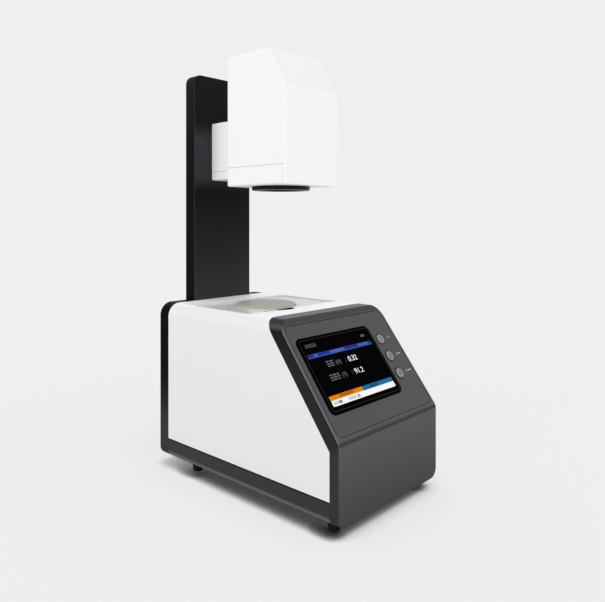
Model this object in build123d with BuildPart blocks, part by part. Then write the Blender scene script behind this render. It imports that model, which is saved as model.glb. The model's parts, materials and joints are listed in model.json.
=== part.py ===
from build123d import *

import os
from math import cos, radians, sin, sqrt, tan

# Benchtop haze meter with an open measuring gap, in millimetres.
# X is to the right seen from the front, the front faces -Y and +Z is up.
# The origin is on the bench, under the middle of the casing.
os.makedirs("parts", exist_ok=True)

# Casing
body_width = 190.0
body_length = 315.0
body_height = 206.0
foot_height = 8.5
top_radius = 17.0
bottom_radius = 12.0
casing_wall = 3.0
tray_height = 26.0
rear_depth = 20.0
rear_edge = 1.5
seam_gap = 0.4
lip_thickness = 1.6
lip_height = 4.0
lip_clearance = 0.2

# Front bezel and its sloping control panel
front_depth = 13.2
front_height = 88.5
panel_angle = 52.5
panel_depth = 16.7
bend_radius = 10.0
rim_radius = 1.8
bezel_wall = 3.5

# Control fascia, set into the sloping panel
fascia_side_margin = 4.4
fascia_low_margin = 6.3
fascia_high_margin = 10.1
fascia_thickness = 1.5
fascia_radius = 8.0
groove = 0.8

# Screen
window_side_margin = 5.9
window_low_margin = 23.0
window_high_margin = 17.0
window_radius = 8.0
window_proud = 1.2
window_clearance = 0.3
window_ledge = 6.0
display_margin = 3.0
display_thickness = 6.0
display_clearance = 0.5

# Buttons, in a strip at the right of the screen
button_strip = 43.1
button_side_margin = 30.1
button_pitch = 24.0
button_radius = 6.25
button_clearance = 0.25
button_proud = 1.3
button_travel = 1.0
button_flange = 1.3
button_flange_thickness = 1.5
button_gap = 0.3
button_edge = 0.6
ring_width = 1.0
ring_proud = 0.5
ring_fit = 0.1
stem_radius = 2.0
stem_length = 2.7
plunger_radius = 1.7
plunger_height = 0.6
switch_side = 6.0
switch_height = 2.5
board_thickness = 1.6
button_board_width = 18.0
button_board_overhang = 17.0
board_post_radius = 3.0
board_post_inset = 4.0

# Stage: a lift-out plate around the measuring port
stage_width = 164.0
stage_front_reach = 58.0
stage_rear_reach = 49.0
stage_sink = 2.3
stage_corner = 3.0
plate_thickness = 3.0
plate_clearance = 0.4
ledge_width = 4.0
well_wall = 3.0
well_floor = 2.5
well_depth = 23.0
well_clearance = 0.2
well_front_flange = 12.0
notch_x = -22.0
notch_radius = 25.3
notch_reach = 8.7
notch_cut = 14.0
notch_depth = 13.0

# Measuring port, round the place where the beam enters
port_offset = 28.2
port_radius = 40.0
port_clearance = 0.8
port_wall = 3.0
port_flange = 4.0
port_flange_thickness = 3.0
port_window_thickness = 3.0
port_rim = 1.2
glass_clearance = 0.2
beam_hole_radius = 8.5

# Optical axis and the integrating sphere
sphere_wall = 4.0
sphere_side_clearance = 4.0
neck_length = 2.5
sphere_flange = 10.0
sphere_flange_thickness = 3.0
neck_wall = 3.5
exit_port_radius = 14.0
trap_radius = 20.0
trap_height = 20.0
trap_tip_radius = 2.0
trap_floor = 3.0
post_radius = 4.0
post_setback = 6.0
detector_tilt = -35.0
detector_radius = 12.0
detector_length = 26.0
detector_fit = 0.2
detector_step = 3.0

# Base frame and boards
frame_thickness = 3.0
frame_side_clearance = 4.0
frame_front_setback = 19.5
frame_rear_setback = 5.5
frame_lip = 8.0
frame_lip_thickness = 2.0
main_board_margin = 4.0
main_board_length = 60.0
main_board_setback = 53.5
standoff_height = 8.0
standoff_radius = 3.0
standoff_inset = 5.0

# Column and its steel spine
column_width = 103.8
column_drop = 11.5
column_radius = 12.5
column_wall = 2.5
column_edge = 1.2
spine_width = 72.0
spine_depth = 12.5
spine_thickness = 3.0
spine_setback = 1.0
spine_head_gap = 22.0
spine_slot_clearance = 0.4
spine_foot = 36.0
spine_foot_thickness = 4.0
gusset_height = 42.0

# Head
head_width = 101.0
head_length = 107.7
head_height = 171.0
head_slope_run = 29.6
head_slope_rise = 50.0
head_seam_height = 24.6
sample_gap = 156.0
axis_setback = 50.7
head_lip = 4.1
head_wall = 3.0
head_rear_radius = 10.5
head_edge = 3.5
head_bottom_edge = 1.6
head_post_radius = 5.5
head_post_inset = 8.0

# Arm between head and column
arm_width = 41.4
arm_length = 67.0
arm_height = 81.0
arm_drop = 12.5
arm_wall = 2.5
arm_edge = 2.5
beam_width = 30.0
beam_low_margin = 17.0
beam_high_margin = 8.0
beam_wall = 2.5
beam_clearance = 0.5
bracket_thickness = 3.0
bracket_width = 72.0
bracket_height = 85.0
bracket_reach = 80.0
bracket_setback = 6.5
bracket_shelf_height = 14.5

# Lens and lamp in the head
lens_ring_radius = 38.3
lens_ring_height = 5.0
lens_ring_edge = 1.0
lens_neck_radius = 33.7
lens_hole_clearance = 0.3
lens_radius = 28.0
lens_thickness = 4.0
lens_lip = 2.0
lens_lip_height = 2.0
tube_radius = 32.0
tube_wall = 3.0
tube_length = 80.0
tube_flange = 3.0
condenser_up = 46.0
condenser_thickness = 3.0
condenser_crown = 5.0
condenser_ledge = 3.0
lamp_side = 64.0
lamp_board_thickness = 2.0
lamp_radius = 4.0
lamp_height = 2.5
sink_base = 4.0
sink_height = 30.0
fin_count = 9
fin_thickness = 2.0

# Feet
foot_side_inset = 15.0
foot_front_inset = 19.5
foot_rear_inset = 64.5
foot_top_radius = 7.0
foot_bottom_radius = 6.2
foot_edge = 0.6
foot_recess_radius = 3.4
foot_recess_depth = 4.5
boss_radius = 4.0
boss_height = 8.0

# Screws
screw_radius = 1.5
screw_head_radius = 2.8
screw_head_height = 2.0
screw_hole = 0.2
foot_screw_length = 12.0
rear_screw_length = 27.0
rear_screw_inset = 15.0
rear_screw_up = 15.5
rear_boss_radius = 5.0
rear_block = 12.0
counterbore_depth = 2.5
head_screw_length = 30.0

# Sockets and switch in the rear panel
bay_side_inset = 29.0
bay_width = 40.0
bay_up = 33.5
bay_height = 72.0
bay_depth = 3.5
bay_wall = 2.5
bay_flange = 1.5
bay_fit = 0.2
bay_board_gap = 16.0
switch_up = 54.0
usb_up = 32.0
inlet_up = 13.0
rocker_width = 10.6
rocker_radius = 8.3
rocker_clearance = 0.3
rocker_wall = 1.0
rocker_tilt = 7.0
rocker_sink = 3.0
rocker_valley = 2.4
rocker_slope = 11.0
rocker_back = 4.0
rocker_pin_radius = 1.0
rocker_pin_clearance = 0.06
rocker_well = 12.0
usb_width = 12.0
usb_height = 11.0
usb_wall = 1.6
usb_depth = 9.0
usb_tongue = 5.6
usb_tongue_height = 3.2
inlet_radius = 5.5
inlet_flange_radius = 7.5
inlet_bore = 3.1
inlet_pin = 1.0
inlet_depth = 9.0

# Places that follow from the sizes above
panel_sin = sin(radians(panel_angle))
panel_cos = cos(radians(panel_angle))
z_bottom = foot_height
z_top = z_bottom + body_height
z_floor = z_bottom + casing_wall
z_tray = z_bottom + tray_height
z_bend = z_bottom + front_height
y_front = -body_length / 2
y_rear = body_length / 2
y_rear_joint = y_rear - rear_depth
z_frame = z_floor + frame_thickness
z_plate_top = z_top - stage_sink
z_plate = z_plate_top - plate_thickness
z_well = z_plate - well_depth
y_spine = y_rear_joint + column_wall + spine_setback
head_rear = y_rear_joint - arm_length
head_front = head_rear - head_length
head_bottom = z_top + sample_gap
head_top = head_bottom + head_height
column_top = head_top - column_drop
column_height = column_top - z_top
head_slope_z = head_top - head_slope_rise
head_slope_y = head_front + head_slope_run
head_seam_z = head_bottom + head_seam_height
arm_bottom = head_bottom + arm_drop
arm_top = arm_bottom + arm_height
beam_bottom = arm_bottom + beam_low_margin
beam_top = arm_top - beam_high_margin
bracket_rear = head_rear - bracket_setback
bracket_shelf_z = head_bottom + bracket_shelf_height
optics_bottom = bracket_shelf_z + bracket_thickness
axis_y = head_rear - axis_setback
port_y = axis_y + port_offset
stage_front = port_y - stage_front_reach
stage_rear = port_y + stage_rear_reach
stage_y = (stage_front + stage_rear) / 2
stage_length = stage_rear - stage_front
notch_front = stage_front - notch_reach
notch_rear = stage_front + notch_cut
bay_x = body_width / 2 - bay_side_inset
bay_bottom = z_bottom + bay_up
y_bay = y_rear - bay_depth
y_bay_board = y_bay - bay_board_gap
screw_bore = screw_radius + screw_hole
panel = Plane(origin=(0, y_front, z_bend), x_dir=(1, 0, 0), z_dir=(0, -panel_sin, panel_cos))
foot_x = body_width / 2 - foot_side_inset
foot_front = y_front + foot_front_inset
foot_rear = y_rear - foot_rear_inset
foot_places = {
    "front_left": (-foot_x, foot_front),
    "front_right": (foot_x, foot_front),
    "rear_left": (-foot_x, foot_rear),
    "rear_right": (foot_x, foot_rear),
}
rear_screw_x = body_width / 2 - rear_screw_inset
rear_screw_z = (z_bottom + rear_screw_up, z_top - rear_screw_up)
rear_screw_places = [(side * rear_screw_x, z) for side in (-1, 1) for z in rear_screw_z]
rear_block_x = rear_screw_x + rear_block / 2


def front_line(low_depth, slope_depth):
    """Side-view points of a surface set back from the front, from the bottom up."""
    z_corner = z_bend - (slope_depth - low_depth * panel_sin) / panel_cos
    y_head = y_front + (slope_depth + (z_top - z_bend) * panel_cos) / panel_sin
    return [(y_front + low_depth, z_bottom), (y_front + low_depth, z_corner), (y_head, z_top)]


def casing_block(inset, front, y_back):
    """The casing's rounded block, its sides moved in by inset, from a front line to y_back."""
    with BuildPart() as block:
        with BuildSketch(Plane.XZ.offset(-y_back)) as outline:
            with Locations((0, (z_bottom + z_top) / 2)):
                Rectangle(body_width - 2 * inset, body_height - 2 * inset)
            fillet(outline.vertices().group_by(Axis.Y)[-1], top_radius - inset)
            fillet(outline.vertices().group_by(Axis.Y)[0], bottom_radius - inset)
        extrude(amount=y_back - y_front)
        with BuildSketch(Plane.YZ):
            with BuildLine():
                Polyline(*front, (y_back, z_top), (y_back, z_bottom), close=True)
            make_face()
        extrude(amount=body_width / 2, both=True, mode=Mode.INTERSECT)
    return block.part


def corner_screw(length):
    """A cheese-head screw along +Z, its shaft from z = 0 up and its head below."""
    with BuildPart() as screw:
        Cylinder(screw_radius, length, align=(Align.CENTER, Align.CENTER, Align.MIN))
        with Locations((0, 0, -screw_head_height)):
            Cylinder(screw_head_radius, screw_head_height, align=(Align.CENTER, Align.CENTER, Align.MIN))
    return screw.part


outer_front = front_line(0, 0)
joint_front = front_line(front_depth, panel_depth)
inner_front = front_line(bezel_wall, bezel_wall)

# Bottom tray: a rounded trough with a tongue that locates the cover
with BuildPart() as bottom_tray:
    add(casing_block(0, joint_front, y_rear_joint))
    add(casing_block(casing_wall, outer_front, y_rear_joint), mode=Mode.SUBTRACT)
    split(bisect_by=Plane.XY.offset(z_tray), keep=Keep.BOTTOM)
    split(bisect_by=Plane.XZ.offset(-(y_front + front_depth + seam_gap)), keep=Keep.BOTTOM)

lip_outer = casing_wall + lip_clearance
lip_inner = lip_outer + lip_thickness
with BuildPart() as tray_lip:
    add(casing_block(lip_outer, joint_front, y_rear_joint))
    add(casing_block(lip_inner, outer_front, y_rear_joint), mode=Mode.SUBTRACT)
    split(bisect_by=Plane.XY.offset(z_tray + lip_height), keep=Keep.BOTTOM)
    split(bisect_by=Plane.XY.offset(z_tray - lip_height), keep=Keep.TOP)

with BuildPart() as lip_root:
    add(casing_block(casing_wall - lip_clearance, joint_front, y_rear_joint))
    add(casing_block(lip_inner, outer_front, y_rear_joint), mode=Mode.SUBTRACT)
    split(bisect_by=Plane.XY.offset(z_tray), keep=Keep.BOTTOM)
    split(bisect_by=Plane.XY.offset(z_tray - lip_height), keep=Keep.TOP)

with BuildPart() as tray_blocks:
    with Locations(*[(side * rear_block_x, y_rear_joint, rear_screw_z[0]) for side in (-1, 1)]):
        Box(2 * rear_block, rear_block, rear_block, align=(Align.CENTER, Align.MAX, Align.CENTER))
    add(casing_block(casing_wall / 2, outer_front, y_rear_joint), mode=Mode.INTERSECT)

with bottom_tray:
    add(tray_lip.part)
    add(lip_root.part)
    add(tray_blocks.part)
    with Locations(*[(x, y, z_floor - casing_wall / 2) for x, y in foot_places.values()]):
        Cylinder(boss_radius, boss_height + casing_wall / 2, align=(Align.CENTER, Align.CENTER, Align.MIN))
    with Locations(*[(x, y, z_bottom) for x, y in foot_places.values()]):
        Cylinder(screw_bore, foot_screw_length + screw_hole, align=(Align.CENTER, Align.CENTER, Align.MIN),
                 mode=Mode.SUBTRACT)
    with BuildSketch(Plane.XZ.offset(-y_rear_joint)):
        with Locations(*[(side * rear_screw_x, rear_screw_z[0]) for side in (-1, 1)]):
            Circle(screw_bore)
    extrude(amount=rear_block, mode=Mode.SUBTRACT)
bottom_tray.part.label = "bottom_tray"
export_step(bottom_tray.part, "parts/bottom_tray.step")

# Body cover: sides and top in one shell, with the stage opening and its finger notch
with BuildSketch() as notch_outline:
    with Locations((notch_x, notch_front + notch_radius)):
        Circle(notch_radius)
    with Locations((notch_x, notch_rear)):
        Rectangle(3 * notch_radius, 3 * notch_radius, align=(Align.CENTER, Align.MIN), mode=Mode.SUBTRACT)

with BuildPart() as cover_blocks:
    with Locations(*[(side * rear_block_x, y_rear_joint, rear_screw_z[1]) for side in (-1, 1)]):
        Box(2 * rear_block, rear_block, rear_block, align=(Align.CENTER, Align.MAX, Align.CENTER))
    add(casing_block(casing_wall / 2, outer_front, y_rear_joint), mode=Mode.INTERSECT)

with BuildPart() as body_cover:
    add(casing_block(0, joint_front, y_rear_joint))
    add(casing_block(casing_wall, outer_front, y_rear_joint), mode=Mode.SUBTRACT)
    split(bisect_by=Plane.XY.offset(z_tray + seam_gap), keep=Keep.TOP)
    add(cover_blocks.part)
    with BuildSketch(Plane.XZ.offset(-y_rear_joint)):
        with Locations(*[(side * rear_screw_x, rear_screw_z[1]) for side in (-1, 1)]):
            Circle(screw_bore)
    extrude(amount=rear_block, mode=Mode.SUBTRACT)
    with BuildSketch(Plane.XY.offset(z_top)):
        with Locations((0, stage_y)):
            RectangleRounded(stage_width, stage_length, stage_corner)
        add(notch_outline.sketch)
    extrude(amount=-2 * casing_wall, mode=Mode.SUBTRACT)
body_cover.part.label = "body_cover"
export_step(body_cover.part, "parts/body_cover.step")

# Rear panel: a deep cover that closes the back and lets the column's spine through its top
with BuildPart() as rear_panel:
    with BuildSketch(Plane.XZ.offset(-y_rear)) as rear_outline:
        with Locations((0, (z_bottom + z_top) / 2)):
            Rectangle(body_width, body_height)
        fillet(rear_outline.vertices().group_by(Axis.Y)[-1], top_radius)
        fillet(rear_outline.vertices().group_by(Axis.Y)[0], bottom_radius)
    extrude(amount=rear_depth)
    chamfer(rear_panel.faces().sort_by(Axis.Y)[-1].edges(), rear_edge)
    with BuildSketch(Plane.XZ.offset(-y_rear_joint)) as rear_cavity:
        with Locations((0, (z_bottom + z_top) / 2)):
            Rectangle(body_width - 2 * casing_wall, body_height - 2 * casing_wall)
        fillet(rear_cavity.vertices().group_by(Axis.Y)[-1], top_radius - casing_wall)
        fillet(rear_cavity.vertices().group_by(Axis.Y)[0], bottom_radius - casing_wall)
    extrude(amount=casing_wall - rear_depth, mode=Mode.SUBTRACT)
    with BuildSketch(Plane.XZ.offset(-y_rear_joint)):
        with Locations(*rear_screw_places):
            Circle(rear_boss_radius)
    extrude(amount=casing_wall / 2 - rear_depth)
    with BuildSketch(Plane.XZ.offset(casing_wall / 2 - y_rear)):
        with Locations((bay_x, bay_bottom + bay_height / 2)):
            RectangleRounded(bay_width + 2 * bay_wall, bay_height + 2 * bay_wall, stage_corner)
    extrude(amount=bay_depth + bay_wall - casing_wall / 2)
    with BuildSketch(Plane.XZ.offset(-y_rear)):
        with Locations((bay_x, bay_bottom + bay_height / 2)):
            RectangleRounded(bay_width, bay_height, stage_corner)
    extrude(amount=bay_depth, mode=Mode.SUBTRACT)
    with BuildSketch(Plane.XZ.offset(-y_bay)):
        with Locations((bay_x, bay_bottom + switch_up)):
            Rectangle(rocker_width + 2 * (rocker_clearance + rocker_wall + bay_fit),
                      2 * (rocker_radius + rocker_clearance + rocker_wall + bay_fit))
        with Locations((bay_x, bay_bottom + usb_up)):
            Rectangle(usb_width + 2 * bay_fit, usb_height + 2 * bay_fit)
        with Locations((bay_x, bay_bottom + inlet_up)):
            Circle(inlet_radius + bay_fit)
    extrude(amount=2 * bay_wall, mode=Mode.SUBTRACT)
    with BuildSketch(Plane.XZ.offset(-y_rear)):
        with Locations(*rear_screw_places):
            Circle(screw_bore)
    extrude(amount=rear_depth, mode=Mode.SUBTRACT)
    with BuildSketch(Plane.XZ.offset(-y_rear)):
        with Locations(*rear_screw_places):
            Circle(screw_head_radius + 2 * screw_hole)
    extrude(amount=counterbore_depth, mode=Mode.SUBTRACT)
    with BuildSketch(Plane.XY.offset(z_top)):
        with Locations((0, y_spine + spine_depth / 2)):
            Rectangle(spine_width + 2 * spine_slot_clearance, spine_depth + 2 * spine_slot_clearance)
    extrude(amount=-2 * casing_wall, mode=Mode.SUBTRACT)
rear_panel.part.label = "rear_panel"
export_step(rear_panel.part, "parts/rear_panel.step")

# Front bezel: one bent moulding with a pocket for the fascia and posts for the button board
slope_length = (z_top - z_bend) / panel_sin
fascia_width = body_width - 2 * fascia_side_margin
fascia_length = slope_length - fascia_low_margin - fascia_high_margin
fascia_up = fascia_low_margin + fascia_length / 2
window_width = fascia_width - window_side_margin - button_strip
window_height = fascia_length - window_low_margin - window_high_margin
window_x = (window_width - fascia_width) / 2 + window_side_margin
window_up = fascia_low_margin + window_low_margin + window_height / 2
button_x = fascia_width / 2 - button_side_margin
button_up = {"lower": window_up - button_pitch, "middle": window_up, "upper": window_up + button_pitch}
opening_width = window_width - 2 * window_ledge
opening_height = window_height - 2 * window_ledge
button_board_length = 2 * (button_pitch + button_board_overhang)
flange_top = -bezel_wall - button_gap
stem_bottom = flange_top - button_flange_thickness - stem_length
plunger_top = stem_bottom - button_travel - button_gap
board_top = plunger_top - plunger_height - switch_height
post_places = [
    (button_x, window_up + side * (button_board_length / 2 - board_post_inset)) for side in (-1, 1)
]

with BuildPart() as front_bezel:
    add(casing_block(0, outer_front, y_rear_joint))
    add(casing_block(-casing_wall, joint_front, y_rear), mode=Mode.SUBTRACT)
    bend = front_bezel.edges().filter_by(Axis.X).sort_by(
        lambda edge: abs(edge.center().Y - y_front) + abs(edge.center().Z - z_bend))[0]
    fillet(bend, bend_radius)
    front_faces = front_bezel.faces().filter_by(lambda face: face.normal_at().Y < -panel_cos / 2)
    rim = front_faces.edges().filter_by(
        lambda edge: abs(edge.center().X) > body_width / 4
        or edge.center().Z < z_bottom + bottom_radius
        or edge.center().Z > z_top - rim_radius)
    fillet(rim, rim_radius)
    add(casing_block(casing_wall, inner_front, y_rear_joint), mode=Mode.SUBTRACT)
    with BuildSketch(panel):
        with Locations((0, fascia_up)):
            RectangleRounded(fascia_width + 2 * groove, fascia_length + 2 * groove, fascia_radius + groove)
    extrude(amount=-fascia_thickness, mode=Mode.SUBTRACT)
    with BuildSketch(panel.offset(-bezel_wall)):
        with Locations(*post_places):
            Circle(board_post_radius)
    extrude(amount=board_top + bezel_wall)
    with BuildSketch(panel):
        with Locations((window_x, window_up)):
            RectangleRounded(opening_width, opening_height, window_radius - window_ledge)
        with Locations(*[(button_x, up) for up in button_up.values()]):
            Circle(button_radius + button_clearance)
    extrude(amount=-2 * bezel_wall, mode=Mode.SUBTRACT)
    with BuildSketch(panel.offset(board_top)):
        with Locations(*post_places):
            Circle(screw_radius - screw_hole / 2)
    extrude(amount=-board_top - bezel_wall, mode=Mode.SUBTRACT)
front_bezel.part.label = "front_bezel"
export_step(front_bezel.part, "parts/front_bezel.step")

# Control fascia: a thin plate in the pocket, open round the window and the button rings
ring_radius = button_radius + button_clearance + ring_width
with BuildPart() as control_fascia:
    with BuildSketch(panel.offset(-fascia_thickness)):
        with Locations((0, fascia_up)):
            RectangleRounded(fascia_width, fascia_length, fascia_radius)
        with Locations((window_x, window_up)):
            RectangleRounded(window_width + 2 * window_clearance, window_height + 2 * window_clearance,
                             window_radius + window_clearance, mode=Mode.SUBTRACT)
        with Locations(*[(button_x, up) for up in button_up.values()]):
            Circle(ring_radius + ring_fit, mode=Mode.SUBTRACT)
    extrude(amount=fascia_thickness)
control_fascia.part.label = "control_fascia"
export_step(control_fascia.part, "parts/control_fascia.step")

# Screen window: a black glass slab that stands a little proud
with BuildPart() as screen_window:
    with BuildSketch(panel.offset(-fascia_thickness)):
        with Locations((window_x, window_up)):
            RectangleRounded(window_width, window_height, window_radius)
    extrude(amount=fascia_thickness + window_proud)
    fillet(screen_window.faces().sort_by(lambda face: face.center().dot(panel.z_dir))[-1].edges(),
           window_proud * 2 / 3)
screen_window.part.label = "screen_window"
export_step(screen_window.part, "parts/screen_window.step")

# Display module behind the bezel's opening, its glass raised into it
with BuildPart() as display_module:
    with BuildSketch(panel.offset(-bezel_wall)):
        with Locations((window_x, window_up)):
            RectangleRounded(opening_width + 2 * display_margin, opening_height + 2 * display_margin,
                             display_margin)
    extrude(amount=-display_thickness)
    with BuildSketch(panel.offset(-bezel_wall)):
        with Locations((window_x, window_up)):
            RectangleRounded(opening_width - 2 * display_clearance, opening_height - 2 * display_clearance,
                             display_clearance)
    extrude(amount=bezel_wall - fascia_thickness - display_clearance)
display_module.part.label = "display_module"
export_step(display_module.part, "parts/display_module.step")

# Buttons: a domed cap through the fascia, a flange that keeps it in and a stem to its switch
for place, up in button_up.items():
    with BuildPart() as button:
        with BuildSketch(panel.offset(button_proud)):
            with Locations((button_x, up)):
                Circle(button_radius)
        extrude(amount=flange_top - button_proud)
        chamfer(button.edges().sort_by(lambda edge: edge.center().dot(panel.z_dir))[-1], button_edge)
        with BuildSketch(panel.offset(flange_top)):
            with Locations((button_x, up)):
                Circle(button_radius + button_flange)
        extrude(amount=-button_flange_thickness)
        with BuildSketch(panel.offset(flange_top - button_flange_thickness)):
            with Locations((button_x, up)):
                Circle(stem_radius)
        extrude(amount=-stem_length)
    button.part.label = "button_" + place
    export_step(button.part, "parts/button_" + place + ".step")

with BuildPart() as button_rings:
    with BuildSketch(panel.offset(-fascia_thickness)):
        with Locations(*[(button_x, up) for up in button_up.values()]):
            Circle(ring_radius)
            Circle(button_radius + button_clearance, mode=Mode.SUBTRACT)
    extrude(amount=fascia_thickness + ring_proud)
    outer_circles = button_rings.edges().filter_by(GeomType.CIRCLE).filter_by(
        lambda edge: edge.radius > ring_radius - ring_fit and panel.to_local_coords(edge.arc_center).Z > 0)
    chamfer(outer_circles, ring_proud * 2 / 3)
button_rings.part.label = "button_rings"
export_step(button_rings.part, "parts/button_rings.step")

with BuildPart() as button_board:
    with BuildSketch(panel.offset(board_top)):
        with Locations((button_x, window_up)):
            Rectangle(button_board_width, button_board_length)
        with Locations(*post_places):
            Circle(screw_bore, mode=Mode.SUBTRACT)
    extrude(amount=-board_thickness)
button_board.part.label = "button_board"
export_step(button_board.part, "parts/button_board.step")

with BuildPart() as tact_switches:
    with BuildSketch(panel.offset(board_top)):
        with Locations(*[(button_x, up) for up in button_up.values()]):
            Rectangle(switch_side, switch_side)
    extrude(amount=switch_height)
    with BuildSketch(panel.offset(board_top + switch_height)):
        with Locations(*[(button_x, up) for up in button_up.values()]):
            Circle(plunger_radius)
    extrude(amount=plunger_height)
tact_switches.part.label = "tact_switches"
export_step(tact_switches.part, "parts/tact_switches.step")

with BuildPart() as button_board_screws:
    with BuildSketch(panel.offset(board_top - board_thickness)):
        with Locations(*post_places):
            Circle(screw_head_radius)
    extrude(amount=-screw_head_height)
    with BuildSketch(panel.offset(board_top - board_thickness)):
        with Locations(*post_places):
            Circle(screw_radius - screw_hole)
    extrude(amount=board_thickness + screw_head_radius * 2)
button_board_screws.part.label = "button_board_screws"
export_step(button_board_screws.part, "parts/button_board_screws.step")

# Base frame: a folded steel plate that carries the sphere, the boards and the spine
frame_width = 2 * (rear_block_x - rear_block - frame_side_clearance)
frame_length = body_length - frame_front_setback - frame_rear_setback
frame_y = (frame_front_setback - frame_rear_setback) / 2
with BuildPart() as base_frame:
    with BuildSketch(Plane.XY.offset(z_floor)):
        with Locations((0, frame_y)):
            Rectangle(frame_width, frame_length)
    extrude(amount=frame_thickness)
    with BuildSketch(Plane.XY.offset(z_frame)):
        with Locations(*[(side * (frame_width - frame_lip_thickness) / 2, frame_y) for side in (-1, 1)]):
            Rectangle(frame_lip_thickness, frame_length)
    extrude(amount=frame_lip)
base_frame.part.label = "base_frame"
export_step(base_frame.part, "parts/base_frame.step")

# Main board on its standoffs, under the sloping panel
main_board_width = frame_width - 2 * main_board_margin
main_board_y = y_front + main_board_setback
standoff_places = [
    (x * (main_board_width / 2 - standoff_inset), main_board_y + y * (main_board_length / 2 - standoff_inset))
    for x in (-1, 1) for y in (-1, 1)
]
with BuildPart() as board_standoffs:
    with BuildSketch(Plane.XY.offset(z_frame)):
        with Locations(*standoff_places):
            RegularPolygon(standoff_radius, 6)
    extrude(amount=standoff_height)
board_standoffs.part.label = "board_standoffs"
export_step(board_standoffs.part, "parts/board_standoffs.step")

with BuildPart() as main_board:
    with BuildSketch(Plane.XY.offset(z_frame + standoff_height)):
        with Locations((0, main_board_y)):
            Rectangle(main_board_width, main_board_length)
    extrude(amount=board_thickness)
    with Locations((0, main_board_y, z_frame + standoff_height + board_thickness)):
        with GridLocations(main_board_width / 4, main_board_length / 3, 3, 2):
            Box(main_board_width / 9, main_board_length / 6, 2 * board_thickness,
                align=(Align.CENTER, Align.CENTER, Align.MIN))
main_board.part.label = "main_board"
export_step(main_board.part, "parts/main_board.step")

# Stage well: a moulded tray under the cover's opening, with the ledge that the plate rests on
well_front = stage_front - well_front_flange
well_rear = stage_rear + well_wall
well_space = casing_block(casing_wall + well_clearance, outer_front, y_rear_joint)
with BuildPart() as stage_well:
    with BuildSketch(Plane.XY.offset(z_well)):
        with Locations((0, (well_front + well_rear) / 2)):
            Rectangle(stage_width + 2 * well_wall, well_rear - well_front)
    extrude(amount=z_top - z_well)
    add(well_space, mode=Mode.INTERSECT)
    with BuildSketch(Plane.XY.offset(z_plate)):
        with Locations((0, stage_y)):
            RectangleRounded(stage_width, stage_length, stage_corner)
    extrude(amount=z_top - z_plate, mode=Mode.SUBTRACT)
    with BuildSketch(Plane.XY.offset(z_well + well_floor)):
        with Locations((0, stage_y)):
            RectangleRounded(stage_width - 2 * ledge_width, stage_length - 2 * ledge_width, stage_corner)
    extrude(amount=z_top - z_well, mode=Mode.SUBTRACT)
    with BuildSketch(Plane.XY.offset(z_top - notch_depth)):
        add(notch_outline.sketch)
    extrude(amount=notch_depth, mode=Mode.SUBTRACT)
    with Locations((0, port_y, z_well)):
        Cylinder(port_radius + glass_clearance, well_floor, align=(Align.CENTER, Align.CENTER, Align.MIN),
                 mode=Mode.SUBTRACT)
stage_well.part.label = "stage_well"
export_step(stage_well.part, "parts/stage_well.step")

# Stage plate: lifts out over the port, with a finger cut in its front edge
with BuildPart() as stage_plate:
    with BuildSketch(Plane.XY.offset(z_plate)):
        with Locations((0, stage_y)):
            RectangleRounded(stage_width - 2 * plate_clearance, stage_length - 2 * plate_clearance,
                             stage_corner)
        with Locations((0, port_y)):
            Circle(port_radius + port_clearance, mode=Mode.SUBTRACT)
        add(notch_outline.sketch, mode=Mode.SUBTRACT)
    extrude(amount=plate_thickness)
stage_plate.part.label = "stage_plate"
export_step(stage_plate.part, "parts/stage_plate.step")

# Port tube: carries the measuring window level with the casing's top
z_port = z_well - port_flange_thickness
with BuildPart() as port_tube:
    with Locations((0, port_y, z_port)):
        Cylinder(port_radius + port_flange, port_flange_thickness,
                 align=(Align.CENTER, Align.CENTER, Align.MIN))
        Cylinder(port_radius, z_top - z_port, align=(Align.CENTER, Align.CENTER, Align.MIN))
    with Locations((0, port_y, z_well)):
        Cylinder(port_radius - port_wall, z_top - z_well, align=(Align.CENTER, Align.CENTER, Align.MIN),
                 mode=Mode.SUBTRACT)
    with Locations((0, port_y, z_top - port_window_thickness)):
        Cylinder(port_radius - port_rim, port_window_thickness, align=(Align.CENTER, Align.CENTER, Align.MIN),
                 mode=Mode.SUBTRACT)
    with Locations((0, axis_y, z_port)):
        Cylinder(beam_hole_radius, port_flange_thickness, align=(Align.CENTER, Align.CENTER, Align.MIN),
                 mode=Mode.SUBTRACT)
port_tube.part.label = "port_tube"
export_step(port_tube.part, "parts/port_tube.step")

with BuildPart() as port_window:
    with Locations((0, port_y, z_top - port_window_thickness)):
        Cylinder(port_radius - port_rim - glass_clearance, port_window_thickness,
                 align=(Align.CENTER, Align.CENTER, Align.MIN))
port_window.part.label = "port_window"
export_step(port_window.part, "parts/port_window.step")

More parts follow.
